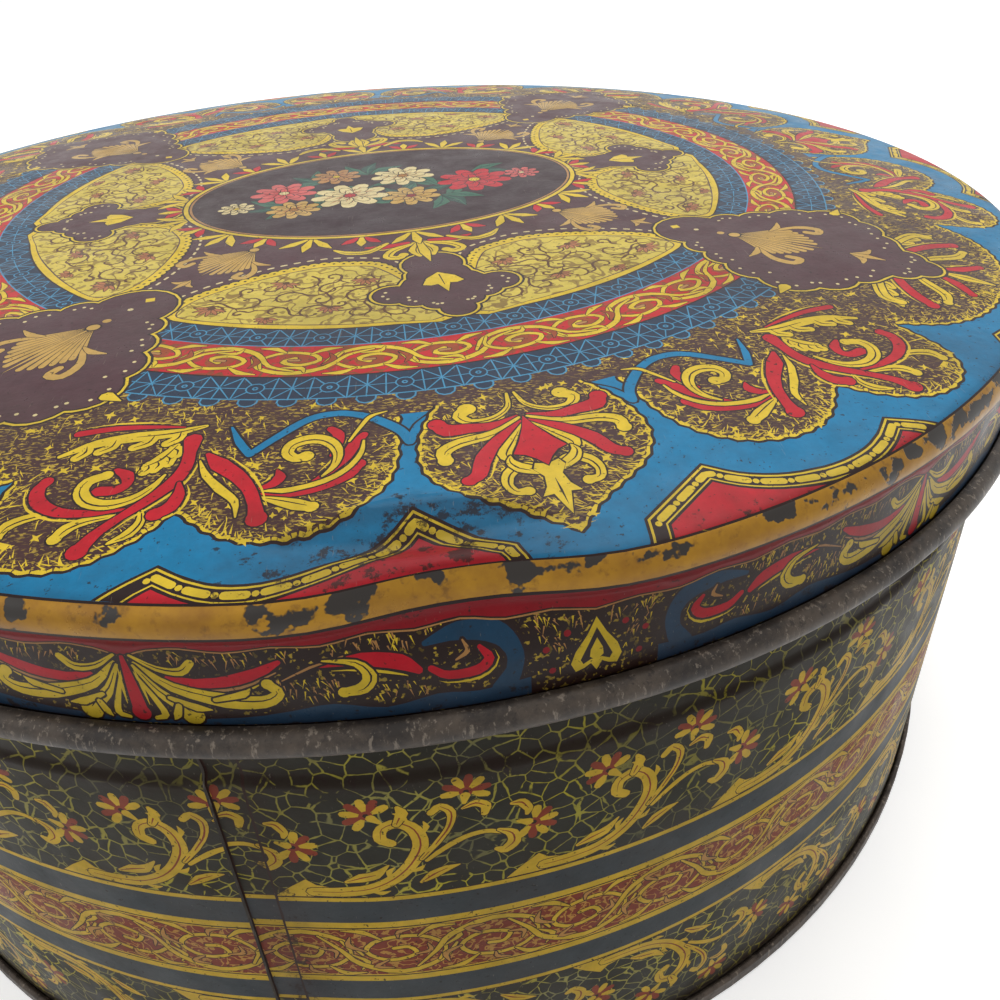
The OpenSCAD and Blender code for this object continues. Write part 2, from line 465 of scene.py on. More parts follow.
FIELD_EDGE = [(8.6, 95.0), (8.7, 99.0), (8.9, 104.0), (9.8, 109.0), (11.6, 113.0), (14.0, 115.4),
              (16.4, 116.0),
              (18.6, 115.0), (20.4, 112.8), (21.5, 111.4)]
FIELD_EDGE_B = [(21.5, 111.4), (22.6, 115.2), (24.4, 119.0), (26.4, 121.0), (28.4, 121.3), (30.4, 119.8),
                (31.7, 116.6), (32.3, 112.5), (32.7, 108.6)]
FIELD_EDGE_C = [(32.7, 108.6), (34.0, 111.6), (35.6, 114.6), (38.0, 117.2), (41.0, 118.8), (45.0, 119.4)]
TIP_EDGE = [(6.0, 93.5), (7.0, 97.0), (7.6, 101.0), (7.7, 104.5), (7.2, 108.0), (5.9, 111.3), (4.0, 113.7),
            (2.4, 115.5), (1.2, 117.4), (0.0, 119.9)]
BUD = [(0, 98.6), (0.45, 101.0), (1.1, 103.6), (1.75, 105.7), (1.05, 106.2), (0.5, 107.2), (0, 108.6)]
SPEAR_LEAF = [(0, 108.4), (0.75, 107.9), (1.0, 109.0), (0.55, 110.4), (0.7, 112.2), (1.15, 113.7),
              (0.5, 113.5),
              (0.3, 115.0), (0, 117.0)]
FLEUR = (
    ("yellow", [(0.5, 108.6), (1.6, 108.0), (2.5, 109.0), (2.8, 110.8), (2.5, 112.3), (1.8, 112.4)],
     [0.5, 0.75, 0.75, 0.6, 0.55, 0.6]),
    ("yellow", [(0.8, 109.2), (1.7, 108.2), (2.1, 107.0), (2.0, 105.9)], [0.7, 0.8, 0.6, 0.1]),
)
RIBBONS = (
    ([(8.1, 100.5), (7.4, 97.4), (6.4, 95.2)], [0.6, 0.5, 0.15]),
    ([(8.1, 100.5), (8.7, 98.0), (10.4, 95.2), (12.0, 93.7), (13.6, 93.3), (15.4, 94.3),
      (17.2, 97.6), (18.7, 101.2)], [0.6, 0.7, 0.6, 0.6, 0.6, 0.5]),
    ([(18.7, 101.2), (19.8, 98.8), (20.9, 95.8)], [0.5, 0.5, 0.15]),
)
# The bow of a red field at the rim, with the share by which a knock draws out each point
BRACKET_BOW = ((8.3, 114.9, 1), (9.8, 117.8, 1), (11.6, 119.9, 0.9), (13.6, 121.2, 0.5), (15.6, 121.8, 0.15),
               (17.6, 121.6, 0), (19.3, 120.7, 0), (20.9, 119.2, 0))
BRACKET_FLAT = ((36.3, 120.4), (38.2, 121.4), (41.4, 122.2), (45, 122.5))
# Borders of the red fields: their shift inward and ink
BRACKET_BORDERS = ((-0.35, "line"), (0.0, "yellow"), (0.28, "line"), (1.8, "yellow"), (2.0, "line"),
                   (2.35, "red"))
# Strokes of the red ring: shares of a half wave across and of half the ring's width
LID_SCROLL = (
    ("yellow", [(-0.55, 0.7), (-0.2, 0.34), (0.06, -0.5), (0.5, -0.86), (0.92, -0.5), (1.1, 0.3)],
     [0.2, 0.36, 0.5, 0.4, 0.2]),
    ("yellow", [(0.88, -0.55), (0.95, 0.1), (0.68, 0.62), (0.3, 0.5), (0.16, 0.04), (0.4, -0.3),
                (0.64, -0.06), (0.5, 0.2)], [0.2, 0.34, 0.36, 0.36, 0.42]),
    ("yellow", [(0.66, 0.62), (0.84, 0.9), (1.06, 0.92)], [0.15, 0.5, 0.1]),
    ("yellow", [(0.3, 0.52), (0.12, 0.84), (-0.1, 0.94)], [0.15, 0.5, 0.1]),
    ("ember", [(0.1, -0.3), (-0.02, 0.1), (0.04, 0.5)], [0.15, 0.5, 0.1]),
    ("yellow", [(0.3, -0.8), (0.36, -0.5), (0.62, -0.46)], [0.12, 0.4, 0.1]),
    ("tan", [(0.44, 0.06), (0.56, 0.06)], [0.3, 0.3]),
)


def plume(path, hand, size):
    """A broad leaf with curled lobes along one side and a dark vein."""
    spine = smooth(path, 4)
    parts = [(path, [0.3, 0.85, 1.0, 0.8, 0.3])]
    for share in (0.16, 0.38, 0.6, 0.82):
        k = max(1, min(len(spine) - 2, round(share * (len(spine) - 1))))
        reach = size * (1 - 0.6 * abs(share - 0.4)) * heading(spine, k)
        lobe = [spine[k] + reach * complex(u, v * hand) for u, v in ((0, 0), (0.12, 0.4), (0.55, 0.62))]
        parts.append((lobe, [0.75, 0.8, 0.6]))
    motif = []
    for tone, grow in (("line", LINE), ("yellow", 0.0)):
        for line, widths in parts:
            motif.append((tone, brush(line, widths, 3, grow)))
            motif.append((tone, disc(line[-1], 1.15 * widths[-1] + grow, 10)))
    return motif + [("line", brush(line[:3], [0.05, 0.13, 0.04], 3)) for line, _ in parts]


def palmette():
    """A fan of leaves round a bud, under a spear with a curled leaf on each side."""
    half = strokes(PALMETTE, polar) + strokes(FLEUR, polar)
    motif = half + mirrored(half)
    motif += lined("yellow", both(placed(SPEAR_LEAF, polar)), 111.5j, 0.3)
    motif += lined("red", both(placed(BUD, polar)), 104.5j, 0.28)
    motif.append(("line", brush([111.0j, 113.0j, 115.4j], [0.05, 0.14, 0.04], 2)))
    return motif


def panel_quadrant():
    """One quarter of the lid's outer ornament, about the axis of a small arm."""
    edge = smooth(placed(FIELD_EDGE, polar), 3)
    for part in (FIELD_EDGE_B, FIELD_EDGE_C):
        edge += smooth(placed(part, polar), 3)[1:]
    edge = frilled(edge)
    field = edge + [polar(angle, 90.0) for angle in np.linspace(45, 8.6, 20)]
    half = [("stipple", field)] + hatched(edge, -1j, "yellow") + sown(field, 150, 420, "yellow")
    for ink, grow in (("line", 0.3), ("blue", 0.0)):
        half += [(ink, brush(placed(path, polar), widths, 4, grow)) for path, widths in RIBBONS]
    for spine, hand, size in PLUMES:
        half += plume(placed(spine, polar), hand, size)
    half += strokes(SPRAY_B, polar) + strokes(SPRAY_A, polar) + strokes(CREST, polar)
    motif = half + mirrored(half)
    tip = frilled(smooth(placed(TIP_EDGE, polar), 3))
    lobe = both([polar(0, 91.0)] + tip)
    motif.append(("stipple", lobe))
    edges = hatched(tip, 1j, "yellow")
    motif += edges + mirrored(edges) + sown(lobe, 70, 200, "yellow")
    return motif + palmette()


def brackets(edge, buckled=0.0):
    """Red fields along the rim of one quarter, each with two points and a beaded border.
    Where the rim is knocked in, the first point is drawn out by the length buckled."""
    def field(drawn_out):
        bow = [polar(angle, radius - part * drawn_out) for angle, radius, part in BRACKET_BOW]
        line = [polar(2.7, edge + 3), polar(3.4, 120.3 - 0.3 * drawn_out)] + smooth(bow, 3)
        return line + [polar(22.0, 121.2), polar(24.4, edge + 3)]

    flat = [polar(33.0, edge + 3)] + placed(BRACKET_FLAT, polar)
    flat += [quarter_mirror(p) for p in reversed(flat[:-1])]
    other = [mirror(p) for p in reversed(field(0.0))]
    motif = []
    for line in (field(buckled), other, flat):
        for shift, ink in BRACKET_BORDERS:
            motif += [(ink, outline) for outline in cut_by_rim(beside(line, shift), edge)]
        middle = [p for p in subdivided(beside(line, 1.05), 0.5) if abs(p) < edge - 0.4]
        motif += dashes(middle, 4.0, 2.2, 0.48, "yellow", 0.4)
    return motif


def cut_by_rim(line, edge):
    """Outlines between the rim and the stretches of a line that lie inside it."""
    outlines, run = [], []
    for a, b in zip(line, line[1:]):
        in_a, in_b = abs(a) < edge, abs(b) < edge
        if in_a:
            run.append(a)
        if in_a != in_b:
            run.append(a + (b - a) * (edge - abs(a)) / (abs(b) - abs(a)))
        if in_a and not in_b:
            first, last = (cmath.phase(q) for q in (run[0], run[-1]))
            back = np.linspace(last, first, 16)[1:-1]
            outlines.append(run + [edge * cmath.exp(1j * phase) for phase in back])
            run = []
    return outlines


def quarter_mirror(p):
    """Mirror image about the direction 45 degrees from the axis of a quarter."""
    return mirror(p / turn(-45)) * turn(-45)


def tendril(foot, course, size, hand, ink):
    """A thin stem that winds in on itself, with small leaves on its back."""
    start = course - hand * math.pi / 2
    middle = foot - 0.5 * size * cmath.exp(1j * start)
    path = [middle + 0.5 * size * (1 - 0.72 * t) * cmath.exp(1j * (start + hand * 1.55 * math.pi * t))
            for t in np.linspace(0, 1, 11)]
    motif = [(ink, brush(path, [0.24, 0.22, 0.18, 0.14], 1)), (ink, disc(path[-1], 0.34, 7))]
    for k in (1, 3, 5):
        out = unit(path[k] - middle)
        along = unit(path[k + 1] - path[k])
        tip = path[k] + size * (0.2 * out + 0.2 * along)
        motif.append((ink, [path[k] - 0.24 * along, path[k] + 0.24 * along, tip]))
    return motif


def leaf_work(field, ink, tries):
    """Curled tendrils that fill a field, the large ones first, with no two nearer than their sizes allow."""
    motif, taken = [], []
    for k in range(tries):
        size = 6.4 - 4.2 * (k / tries) ** 0.6
        course = random.uniform(0, 2 * math.pi)
        hand = random.choice((1, -1))
        foot = spot_in(field)
        middle = foot - 0.5 * size * cmath.exp(1j * (course - hand * math.pi / 2))
        if not all(inside(field, middle + 0.6 * size * way) for way in (1, 1j, -1, -1j)):
            continue
        if any(abs(middle - other) < 0.47 * (size + width) for other, width in taken):
            continue
        taken.append((middle, size))
        motif += tendril(foot, course, size, hand, ink)
        stem = [foot] + [foot - reach * size * cmath.exp(1j * (course + bend * hand))
                         for reach, bend in ((0.4, 0.3), (0.9, 0.9))]
        if inside(field, stem[-1]):
            motif.append((ink, brush(stem, [0.24, 0.2, 0.12], 3)))
    return motif


def drawn_at(foot, size):
    """Makes points and half widths of a motif that stands on a foot, from shares of its size."""
    def at(*points):
        return [foot + size * complex(*p) for p in points]

    def wide(*shares):
        return [share * size for share in shares]

    return at, wide


def trefoil(base, size, ink):
    """A small leaf of three points."""
    at, wide = drawn_at(complex(0, base), size)
    side = stroke(ink, at((0, 0), (0.26, 0.42), (0.62, 0.5)), wide(0.06, 0.14, 0.05), 0.14, 3)
    middle = stroke(ink, at((0, 0), (0, 0.5), (0, 1.1)), wide(0.05, 0.16, 0.02), 0.14, 3)
    return side + mirrored(side) + middle


def fan(base, size, ink, ribs=6):
    """A fan of thin ribs about the axis, the longest in the middle, with a curl at each side."""
    foot = complex(0, base)
    at, wide = drawn_at(foot, size)
    curl = at((0, 0), (0.3, 0.36), (0.56, 0.62), (0.6, 0.86), (0.46, 0.9), (0.44, 0.76))
    half = stroke(ink, curl, wide(0.012, 0.03, 0.05, 0.05, 0.045), 0.14, 3)
    for k in range(ribs, 0, -1):
        tip = foot + size * (1 - 0.05 * k) * cmath.exp(1j * (math.pi / 2 - 0.1 * k))
        half += stroke(ink, [foot, 0.5 * (foot + tip), tip], wide(0.008, 0.02, 0.034), 0.1, 3)
    half += stroke(ink, at((0.3, 0.36), (0.46, 0.4), (0.62, 0.36)), wide(0.015, 0.045, 0.01), 0.12, 3)
    motif = half + mirrored(half)
    motif += stroke(ink, at((0, 0), (0, 0.55), (0, 1.06)), wide(0.01, 0.03) + [0.02], 0.1, 3)
    return motif + [("line", disc(foot, 0.09 * size, 10)), (ink, disc(foot, 0.07 * size, 10))]


def lattice(inner, outer, cells):
    """A band of dark squares with pale lines, stars and rings."""
    middle = (inner + outer) / 2
    motif = [ring("pale_blue", outer), ring("navy", outer - 0.25)]
    motif += [ring("pale_blue", middle + 0.08), ring("navy", middle - 0.08)]
    step = 360 / cells
    for k in range(cells):
        def at(u, v):
            return polar(k * step + u * step, inner + v * (outer - inner))

        lines = [[at(0, 0), at(0, 1)], [at(0.05, 0.05), at(0.95, 0.95)], [at(0.95, 0.05), at(0.05, 0.95)]]
        if k % 2:
            lines.append([at(0.5, 0), at(0.5, 1)])
        motif += [("pale_blue", brush(ends, [0.1, 0.1], 1)) for ends in lines]
        if k % 2 == 0:
            rings = (("pale_blue", 1.3, 12), ("navy", 1.1, 12), ("pale_blue", 0.45, 6), ("navy", 0.2, 6))
            motif += [(ink, disc(at(0.5, 0.5), size, steps)) for ink, size, steps in rings]
    return motif


def running_scroll(inner, outer, waves):
    """A wave that carries a leafy spiral in each of its hollows."""
    middle, reach = (inner + outer) / 2, (outer - inner) / 2
    step = 360 / waves
    motif = []
    for k in range(waves):
        up = 1 if k % 2 else -1

        def at(u, v):
            return polar((k + u) * step, middle + up * v * reach)

        motif.append(("ember", disc(at(0.5, 0.06), 0.52 * reach, 12)))
        motif += strokes(LID_SCROLL, at, 0.12)
    return motif


# Lobes of the arms: across, outward and radius
LARGE_ARM = [(0, 106.8, 2.4), (2.6, 103.8, 2.4), (0, 100.6, 5.2), (6.8, 97.4, 3.8), (11.6, 93.8, 4.0),
             (14.4, 89.0, 4.4), (12.6, 83.0, 4.0), (9.6, 77.6, 3.2), (6.6, 72.4, 2.6), (0, 91.0, 12.6),
             (0, 82.0, 10.5), (0, 75.0, 7.8), (0, 68.0, 6.0)]
SMALL_ARM = [(0, 66.0, 2.0), (2.4, 62.8, 1.8), (5.4, 60.2, 2.2), (8.6, 57.8, 2.6), (0, 57.2, 6.6),
             (0, 52.0, 4.6),
             (0, 47.0, 4.4)]
CARTOUCHE = [(1.6, 69.2), (8, 69.2), (15, 69.2), (22, 69.2), (29, 69.2), (37.0, 69.2), (39.2, 67.4),
             (39.6, 63.4),
             (38.6, 59.0), (36.4, 54.6), (33.2, 50.4), (29.0, 46.8), (23.4, 44.2), (17.0, 43.8),
             (11.8, 44.6), (8.4, 47.6),
             (6.2, 51.0), (3.0, 58.0)]
# Middles of the dots that follow the lobes of an arm
LARGE_ARM_MIDDLE, SMALL_ARM_MIDDLE = 82, 58
# Small flowers of a cartouche: degrees from the axis of a quarter, distance from the middle and size
CARTOUCHE_FLOWERS = ((34.5, 64.0, 2.3), (27.6, 52.6, 2.1), (13.2, 51.0, 2.0), (17.6, 61.8, 1.7),
                     (25.4, 66.0, 1.5))
ARM_LEAF = ((0, 51.0), (2.4, 53.2), (3.4, 55.6), (2.2, 56.2), (1.0, 56.0), (0, 59.4))
CROWN = (
    ("yellow", [(0.8, 36.0), (3.0, 37.0), (5.4, 38.6), (6.6, 41.0), (5.0, 42.2), (3.8, 41.0)],
     [0.5, 0.8, 0.9, 0.9, 0.7]),
    ("red", [(2.0, 35.4), (6.6, 36.0), (9.6, 35.2)], [0.5, 1.0, 0.3]),
    ("yellow", [(0.2, 36.0), (1.6, 39.6), (1.2, 42.6)], [0.5, 1.1, 0.4]),
    ("yellow", [(5.6, 34.4), (9.4, 37.4), (13.0, 36.6), (15.0, 34.4)], [0.4, 0.8, 0.8, 0.3]),
)
# The oval in the middle: half its length and width, and its borders by their distance outward
OVAL = (39.5, 28.0)
OVAL_BORDERS = ((2.2, "line"), (1.85, "yellow"), (1.0, "line"), (0.7, "tan"), (0.25, "line"),
                (0.0, "aubergine"))
# Leaves of the bunch: place, size and direction
BUNCH_LEAVES = ((-21, 3, 9, 20), (-9, -9, 8, 70), (20, -3, 9, 130), (10, 11, 8, 200), (-6, 12, 7, 300),
                (3, -15, 7, 250), (28, 6, 7, 10), (-28, -6, 6.5, 160), (-14, 14, 6.5, 110),
                (16, -13, 6.5, 320))
# Flowers of the bunch: place, size and the inks of the petals, their shade and the heart
BUNCH_FLOWERS = (
    (-19, 2, 7.4, "red", "deep_red", "yellow"), (-5, -7, 6.4, "cream", "tan", "ochre"),
    (-4, 8, 5.6, "fan_gold", "ochre", "deep_red"), (8, 3, 7.4, "cream", "salmon", "red"),
    (21, -4, 6.4, "rose", "red", "cream"), (20, 8, 5.0, "fan_gold", "ember", "ochre"),
    (9, -12, 5.0, "tan", "ember", "yellow"), (-30, 1, 3.6, "rose", "deep_red", "cream"),
    (31, 3, 3.4, "cream", "tan", "yellow"),
)


def arm(parts, middle):
    """An arm of round lobes with a gold border, and small dots that follow the inside of its outer lobes."""
    motif = []
    for ink, grow in (("line", 1.7), ("yellow", 1.3), ("line", 0.9), ("brown", 0.6)):
        for u, v, r in parts:
            sides = (1, -1) if u else (1,)
            motif += [(ink, disc(complex(side * u, v), r + grow, 20)) for side in sides]
    for u, v, r in parts:
        if u:
            out = math.degrees(math.atan2(v - middle, u))
            for lean in (-50, 0, 50):
                spot = complex(u, v) + (r - 0.9) * turn(out + lean)
                motif += [("cream", disc(p, 0.32, 6)) for p in (spot, mirror(spot))]
    return motif


def cartouche():
    """A yellow field with a scalloped border, thin leaf work and small flowers."""
    field = smooth(placed(CARTOUCHE, polar), 3, True)
    middle = polar(22, 58)
    free_edge = 66
    scallops = [p for p in field if abs(p) < free_edge]
    motif = []
    for ink, size, grow in (("line", 1.35, 0.5), ("yellow", 1.0, 0.15)):
        motif += [(ink, disc(p, size, 10)) for p in scallops] + [(ink, swollen(field, middle, grow))]
    motif += [("line", disc(p, 0.28, 6)) for p in scallops]
    motif += [("brown", swollen(field, middle, -1.1)), ("field", swollen(field, middle, -1.35))]
    motif += leaf_work(swollen(field, middle, -2.2), "umber", 900)
    for angle, radius, size in CARTOUCHE_FLOWERS:
        centre = polar(angle, radius)
        for lean in (-80, -48, -16, 16, 48, 80):
            way = unit(centre) * turn(lean) * size
            for ink, ends, widths in (("umber", (0.1, 0.6, 1.2), [0.15, 0.55, 0.25]),
                                      ("salmon", (0.2, 0.6, 1.1), [0.08, 0.38, 0.14])):
                motif.append((ink, brush([centre + share * way for share in ends], widths, 2)))
        motif.append(("umber", disc(centre, 0.3 * size, 8)))
    outside = [p for p in swollen(field, middle, 2.7) if abs(p) < free_edge]
    return motif + dashes(outside, 2.3, 0.8, 0.26, "cream")


def inner_quadrant():
    """The yellow fields and the small arm of one quarter, and the large arm between it and the next."""
    half = cartouche()
    motif = half + mirrored(half) + arm(SMALL_ARM, SMALL_ARM_MIDDLE)
    motif += lined("yellow", both(placed(ARM_LEAF)), 55j, 0.3)
    motif += stroke("line", [52j, 56.5j], [0.12, 0.08], 0, 2)
    side = strokes(CROWN, complex)
    motif += side + mirrored(side)
    motif += stroke("yellow", [36j, 41j, 45.6j], [0.5, 0.9, 0.1], LINE)
    large = arm(LARGE_ARM, LARGE_ARM_MIDDLE)
    large += fan(75.5, 14.5, "fan_gold") + [("fan_gold", disc(73.0j, 0.7, 8))]
    large += trefoil(95.5, 5.0, "fan_gold")
    for side in (1, -1):
        large += stroke("yellow", [complex(18.8 * side, 89.0), complex(21.4 * side, 89.0)], [1.0, 0.1], 0.25)
    large += [("yellow", disc(64.5j, 1.0, 4)), ("cream", disc(68.5j, 0.5, 6))]
    large += fan(40.5, 12.5, "fan_gold") + trefoil(56.0, 3.6, "fan_gold")
    return motif, turned(large, -45)


def oval(grow, steps=72):
    across, along = OVAL
    return [complex((across + grow) * math.cos(a), (along + grow) * math.sin(a))
            for a in np.linspace(0, 2 * math.pi, steps + 1)[:-1]]


def oval_frame():
    """Small leaves round the oval, in threes, and its borders."""
    motif = []
    across, along = OVAL
    for k, p in enumerate(oval(5.2, 28)):
        out = unit(complex(p.real / (across + 5) ** 2, p.imag / (along + 5) ** 2))
        ink = "yellow" if k % 2 else "red"
        size = 4.6 if k % 2 else 3.4
        foot = p - 3.6 * out
        for lean in (-0.75, 0.75, 0):
            tip = foot + size * 1.5 * out * cmath.exp(1j * lean)
            path = [foot, foot + 0.6 * (tip - foot) + 0.3 * out, tip]
            motif += stroke(ink if lean else "yellow", path, [0.2, 0.9, 0.15], 0.2, 3)
    return motif + [(ink, oval(grow)) for grow, ink in OVAL_BORDERS]


def bunch_leaf(foot, way, size, ink, vein_ink):
    """A pointed leaf with veins, left out where it would leave the oval."""
    tip = foot + 1.35 * size * way
    if abs(complex(tip.real / OVAL[0], tip.imag / OVAL[1])) >= 0.93:
        return []
    path = [foot, 0.5 * (foot + tip) + 0.8j * way, tip]
    motif = stroke(ink, path, [0.2, 1.7, 0.1], 0.2, 4) + stroke(vein_ink, path, [0.1, 0.2, 0.05], 0, 4)
    for share, side in ((0.35, 1), (0.5, -1), (0.62, 1)):
        spot = foot + share * (tip - foot) + 0.7j * way
        motif += stroke(vein_ink, [spot, spot + way * complex(0.9, 0.8 * side)], [0.1, 0.04], 0, 1)
    return motif


def bunch_flower(centre, size, petal_ink, shade_ink, heart_ink):
    """A flower of three rings of petals round a dotted heart."""
    motif = []
    for ring_size, count, start in ((1.0, 9, 0), (0.7, 7, 20), (0.45, 5, 50)):
        reach = size * ring_size
        for k in range(count):
            way = turn(start + 360 * k / count)
            petal = [centre + share * reach * way for share in (0.1, 0.55, 0.9)]
            motif += stroke(petal_ink, petal, [0.05 * reach, 0.24 * reach, 0.2 * reach], 0.2, 3)
            for lean in (-0.16, 0.0, 0.16):
                shares = (0.15, 0.8 - abs(lean))
                shade = [centre + share * reach * (way * cmath.exp(1j * lean)) for share in shares]
                motif.append((shade_ink, brush(shade, [0.05 * reach, 0.01 * reach], 1)))
    motif += [("line", disc(centre, 0.2 * size, 12)), (heart_ink, disc(centre, 0.16 * size, 12))]
    return motif + [("line", disc(centre + 0.09 * size * turn(60 * k), 0.025 * size, 5)) for k in range(6)]


def medallion():
    """An oval field with a double gold border and a bunch of flowers."""
    motif = oval_frame()
    for x, y, size, spin in BUNCH_LEAVES:
        for lean in (-44, 0, 44):
            inks = ("leaf", "deep_leaf") if lean else ("deep_leaf", "leaf")
            motif += bunch_leaf(complex(x, y) * 0.72, turn(spin + lean), size, *inks)
    for x, y, size, *inks in BUNCH_FLOWERS:
        motif += bunch_flower(complex(x, y), size, *inks)
    return motif


# Profiles: complex numbers with the distance from the axis and the height

class Profile:
    """One side of a spun sheet, by the length along it."""

    def __init__(self, points):
        self.points = joined(points)
        self.reach = reaches(self.points)
        self.radius = np.array([p.real for p in self.points])
        self.height = np.array([p.imag for p in self.points])

    def at(self, s):
        return np.interp(s, self.reach, self.radius), np.interp(s, self.reach, self.height)

    def reach_of(self, point):
        """Length to the corner of the profile that lies nearest to a point."""
        return float(self.reach[int(np.argmin(np.hypot(self.radius - point.real, self.height - point.imag)))])

    def reach_beside(self, point):
        """Length to the place on the profile that lies nearest to a point."""
        lengths = np.linspace(0, self.reach[-1], 4000)
        radius, height = self.at(lengths)
        return float(lengths[int(np.argmin(np.hypot(radius - point.real, height - point.imag)))])


def reverse_bend(radius, offset):
    """The turn of two equal bends that carry a sheet aside by an offset, in degrees, and their length."""
    angle = math.degrees(math.acos(1 - offset / (2 * radius)))
    return angle, 2 * radius * math.sin(math.radians(angle))


# The lid, along the middle of its sheet
neck_out_r = WALL_R - NECK_STEP
curl_mid = LID_CURL_D / 2 - HALF
curl_r = neck_out_r + LID_CLEARANCE + LID_CURL_D / 2
skirt_r = curl_r - curl_mid + LID_TUCK
rim_mid = RIM_R - HALF
rim_turn = math.degrees(math.acos(1 - RIM_OVERHANG / (rim_mid + LID_BEND)))
rim_r = skirt_r + RIM_OVERHANG - rim_mid
tuck_turn, tuck_drop = reverse_bend(LID_BEND, LID_TUCK)
rim_top_z = BODY_H + LID_SEAT_GAP + HALF
rim_z = rim_top_z - rim_mid
curl_z = rim_top_z + HALF - LID_H + LID_CURL_D / 2
flat_r = rim_r - LID_BORDER_W
border_r = (LID_BORDER_W ** 2 + LID_CROWN ** 2) / (2 * LID_CROWN) + rim_mid
border_slope = math.degrees(math.asin(LID_BORDER_W / (border_r - rim_mid)))
crown_z = rim_top_z + LID_CROWN
CURL_END = 460
# The curl is drawn this much smaller, which keeps the shell inside the solid's box
CURL_SLACK = 0.012

lid_middle = [complex(0, crown_z)]
lid_middle += arc(complex(flat_r, crown_z - border_r), border_r, 90, 90 - border_slope, 24)
lid_middle += arc(complex(rim_r, rim_z), rim_mid, 90 - border_slope, -rim_turn, 14)
bend_z = rim_z - (rim_mid + LID_BEND) * math.sin(math.radians(rim_turn))
lid_middle += arc(complex(skirt_r + LID_BEND, bend_z), LID_BEND, 180 - rim_turn, 180, 5)
lid_middle += arc(complex(skirt_r - LID_BEND, curl_z + tuck_drop), LID_BEND, 0, -tuck_turn, 5)
lid_middle += arc(complex(skirt_r - LID_TUCK + LID_BEND, curl_z), LID_BEND, 180 - tuck_turn, 180, 5)
lid_middle = joined(lid_middle + arc(complex(curl_r, curl_z), curl_mid - CURL_SLACK, 180, CURL_END, 26))
lid_outer = beside(lid_middle, HALF)
lid_outer[0] = complex(0, crown_z + HALF)
lid_inner = beside(lid_middle, -HALF)
lid_inner[0] = complex(0, crown_z - HALF)
lid_side = Profile(lid_outer)

# Lengths along the lid's outer side to the borders of its print
rim_start = lid_side.reach_of(complex(rim_r + RIM_R * math.sin(math.radians(border_slope)), rim_top_z))
curl_start = lid_side.reach_of(complex(skirt_r - LID_TUCK + HALF, curl_z))
RED_TOP = 102.9
gold_start = rim_start + 1.0
gold_end = lid_side.reach_of(complex(rim_r + RIM_R, RED_TOP - 0.1))
skirt_end = curl_start - 2.2
print_end = curl_start + 0.6

# The wall, along the middle of its sheet
neck_mid_r = neck_out_r - HALF
wall_mid_r = WALL_R - HALF
shoulder_turn, shoulder_rise = reverse_bend(SHOULDER_BEND, NECK_STEP)
neck_curl_mid = NECK_CURL_D / 2 - HALF
NECK_CURL_END = 250
wall_middle = [complex(wall_mid_r + 2 * SEAM_PITCH, SEAM_H - SEAM_PITCH - HALF)]
wall_middle += arc(complex(wall_mid_r + SEAM_PITCH, HALF + 2 * SEAM_PITCH), SEAM_PITCH, 0, -180, 8)
wall_middle += arc(complex(wall_mid_r - SHOULDER_BEND, SHOULDER_Z), SHOULDER_BEND, 0, shoulder_turn, 6)
wall_middle += arc(complex(neck_mid_r + SHOULDER_BEND, SHOULDER_Z + shoulder_rise), SHOULDER_BEND,
                   180 + shoulder_turn, 180, 6)
neck_curl = complex(neck_mid_r - neck_curl_mid, BODY_H - NECK_CURL_D / 2)
wall_middle = joined(wall_middle + arc(neck_curl, neck_curl_mid, 0, NECK_CURL_END, 20))
wall_inner = beside(wall_middle, HALF)
wall_side = Profile(beside(wall_middle, -HALF))
wall_zero = wall_side.reach_of(complex(WALL_R, SHOULDER_Z)) - SHOULDER_Z


# Damage, wear and darkening, with painted shade at the lid's dent, by the length along a side or the height,
# and the angle in radians

def dent_width(angle):
    """Share of the dent's depth at an angle, from 1 in its middle to 0 at its ends."""
    return held(1 - np.abs(degrees_from(angle, DENT_ANGLE) / DENT_SPREAD) ** 1.8)


def crease(angle):
    """Where the panel starts to bend down in front of the dented rim."""
    return rim_start - 3.0 - 8.2 * dent_width(angle)


def knock(angle):
    """Share of the blow to the rim at an angle, from 1 in its middle to 0 beside it."""
    return np.exp(-(np.abs(degrees_from(angle, KNOCK_ANGLE)) / KNOCK_SPREAD) ** 2.4)


def neck_dent(angle, height):
    """How far the same blow pushed in the top of the neck, in millimetres."""
    return NECK_PUSH * knock(angle) * held((height - WALL_HIGH) / 8.6)


def dent(s, angle):
    """How far the rim is knocked in and the panel behind it pressed down, in millimetres."""
    inward = KNOCK_DEPTH * knock(angle) * eased((s - rim_start + 3) / 5.5) * eased((rim_start + 13 - s) / 10)
    bend = crease(angle)
    low = rim_start - 6.0
    depth = held((low - bend) / 7.0)
    slope = held((s - bend) / np.maximum(low - bend, 0.5))
    down = PRESS_DEPTH * depth * slope * eased((rim_start - 2.6 - s) / 3.4)
    behind = held((s - bend + 8) / 8)
    before = held((rim_start - 4 - s) / np.maximum(rim_start - 4 - bend, 0.5))
    ridge = RIDGE_HEIGHT * depth * np.where(s < bend, behind ** 3, before)
    return inward, down - ridge


def lid_wear_and_dent_shade(s, angle):
    """Share of rubbed and dirty print on the lid, with painted shade and grime at the dent: along its crease
    and over the panel that tilts down in front of it.
    """
    near = np.sqrt(dent_width(angle))
    past = s - crease(angle)
    # Painted shade and grime along the dent's crease
    knocked = near * np.exp(-((past - 1.2) / 1.5) ** 2)
    # Painted shade and grime over the panel that tilts down between the crease and the gold
    pressed = 0.9 * near * held(past / 4) * held((gold_start + 1 - s) / 2)
    rubbed = (0.66 + 0.26 * np.cos(2 * (angle + 0.7))) * np.exp(-((s - gold_start - 1.0) / 1.7) ** 2)
    low_edge = held((s - skirt_end + 3) / 5)
    return held(np.maximum.reduce([knocked, pressed, rubbed, low_edge]))


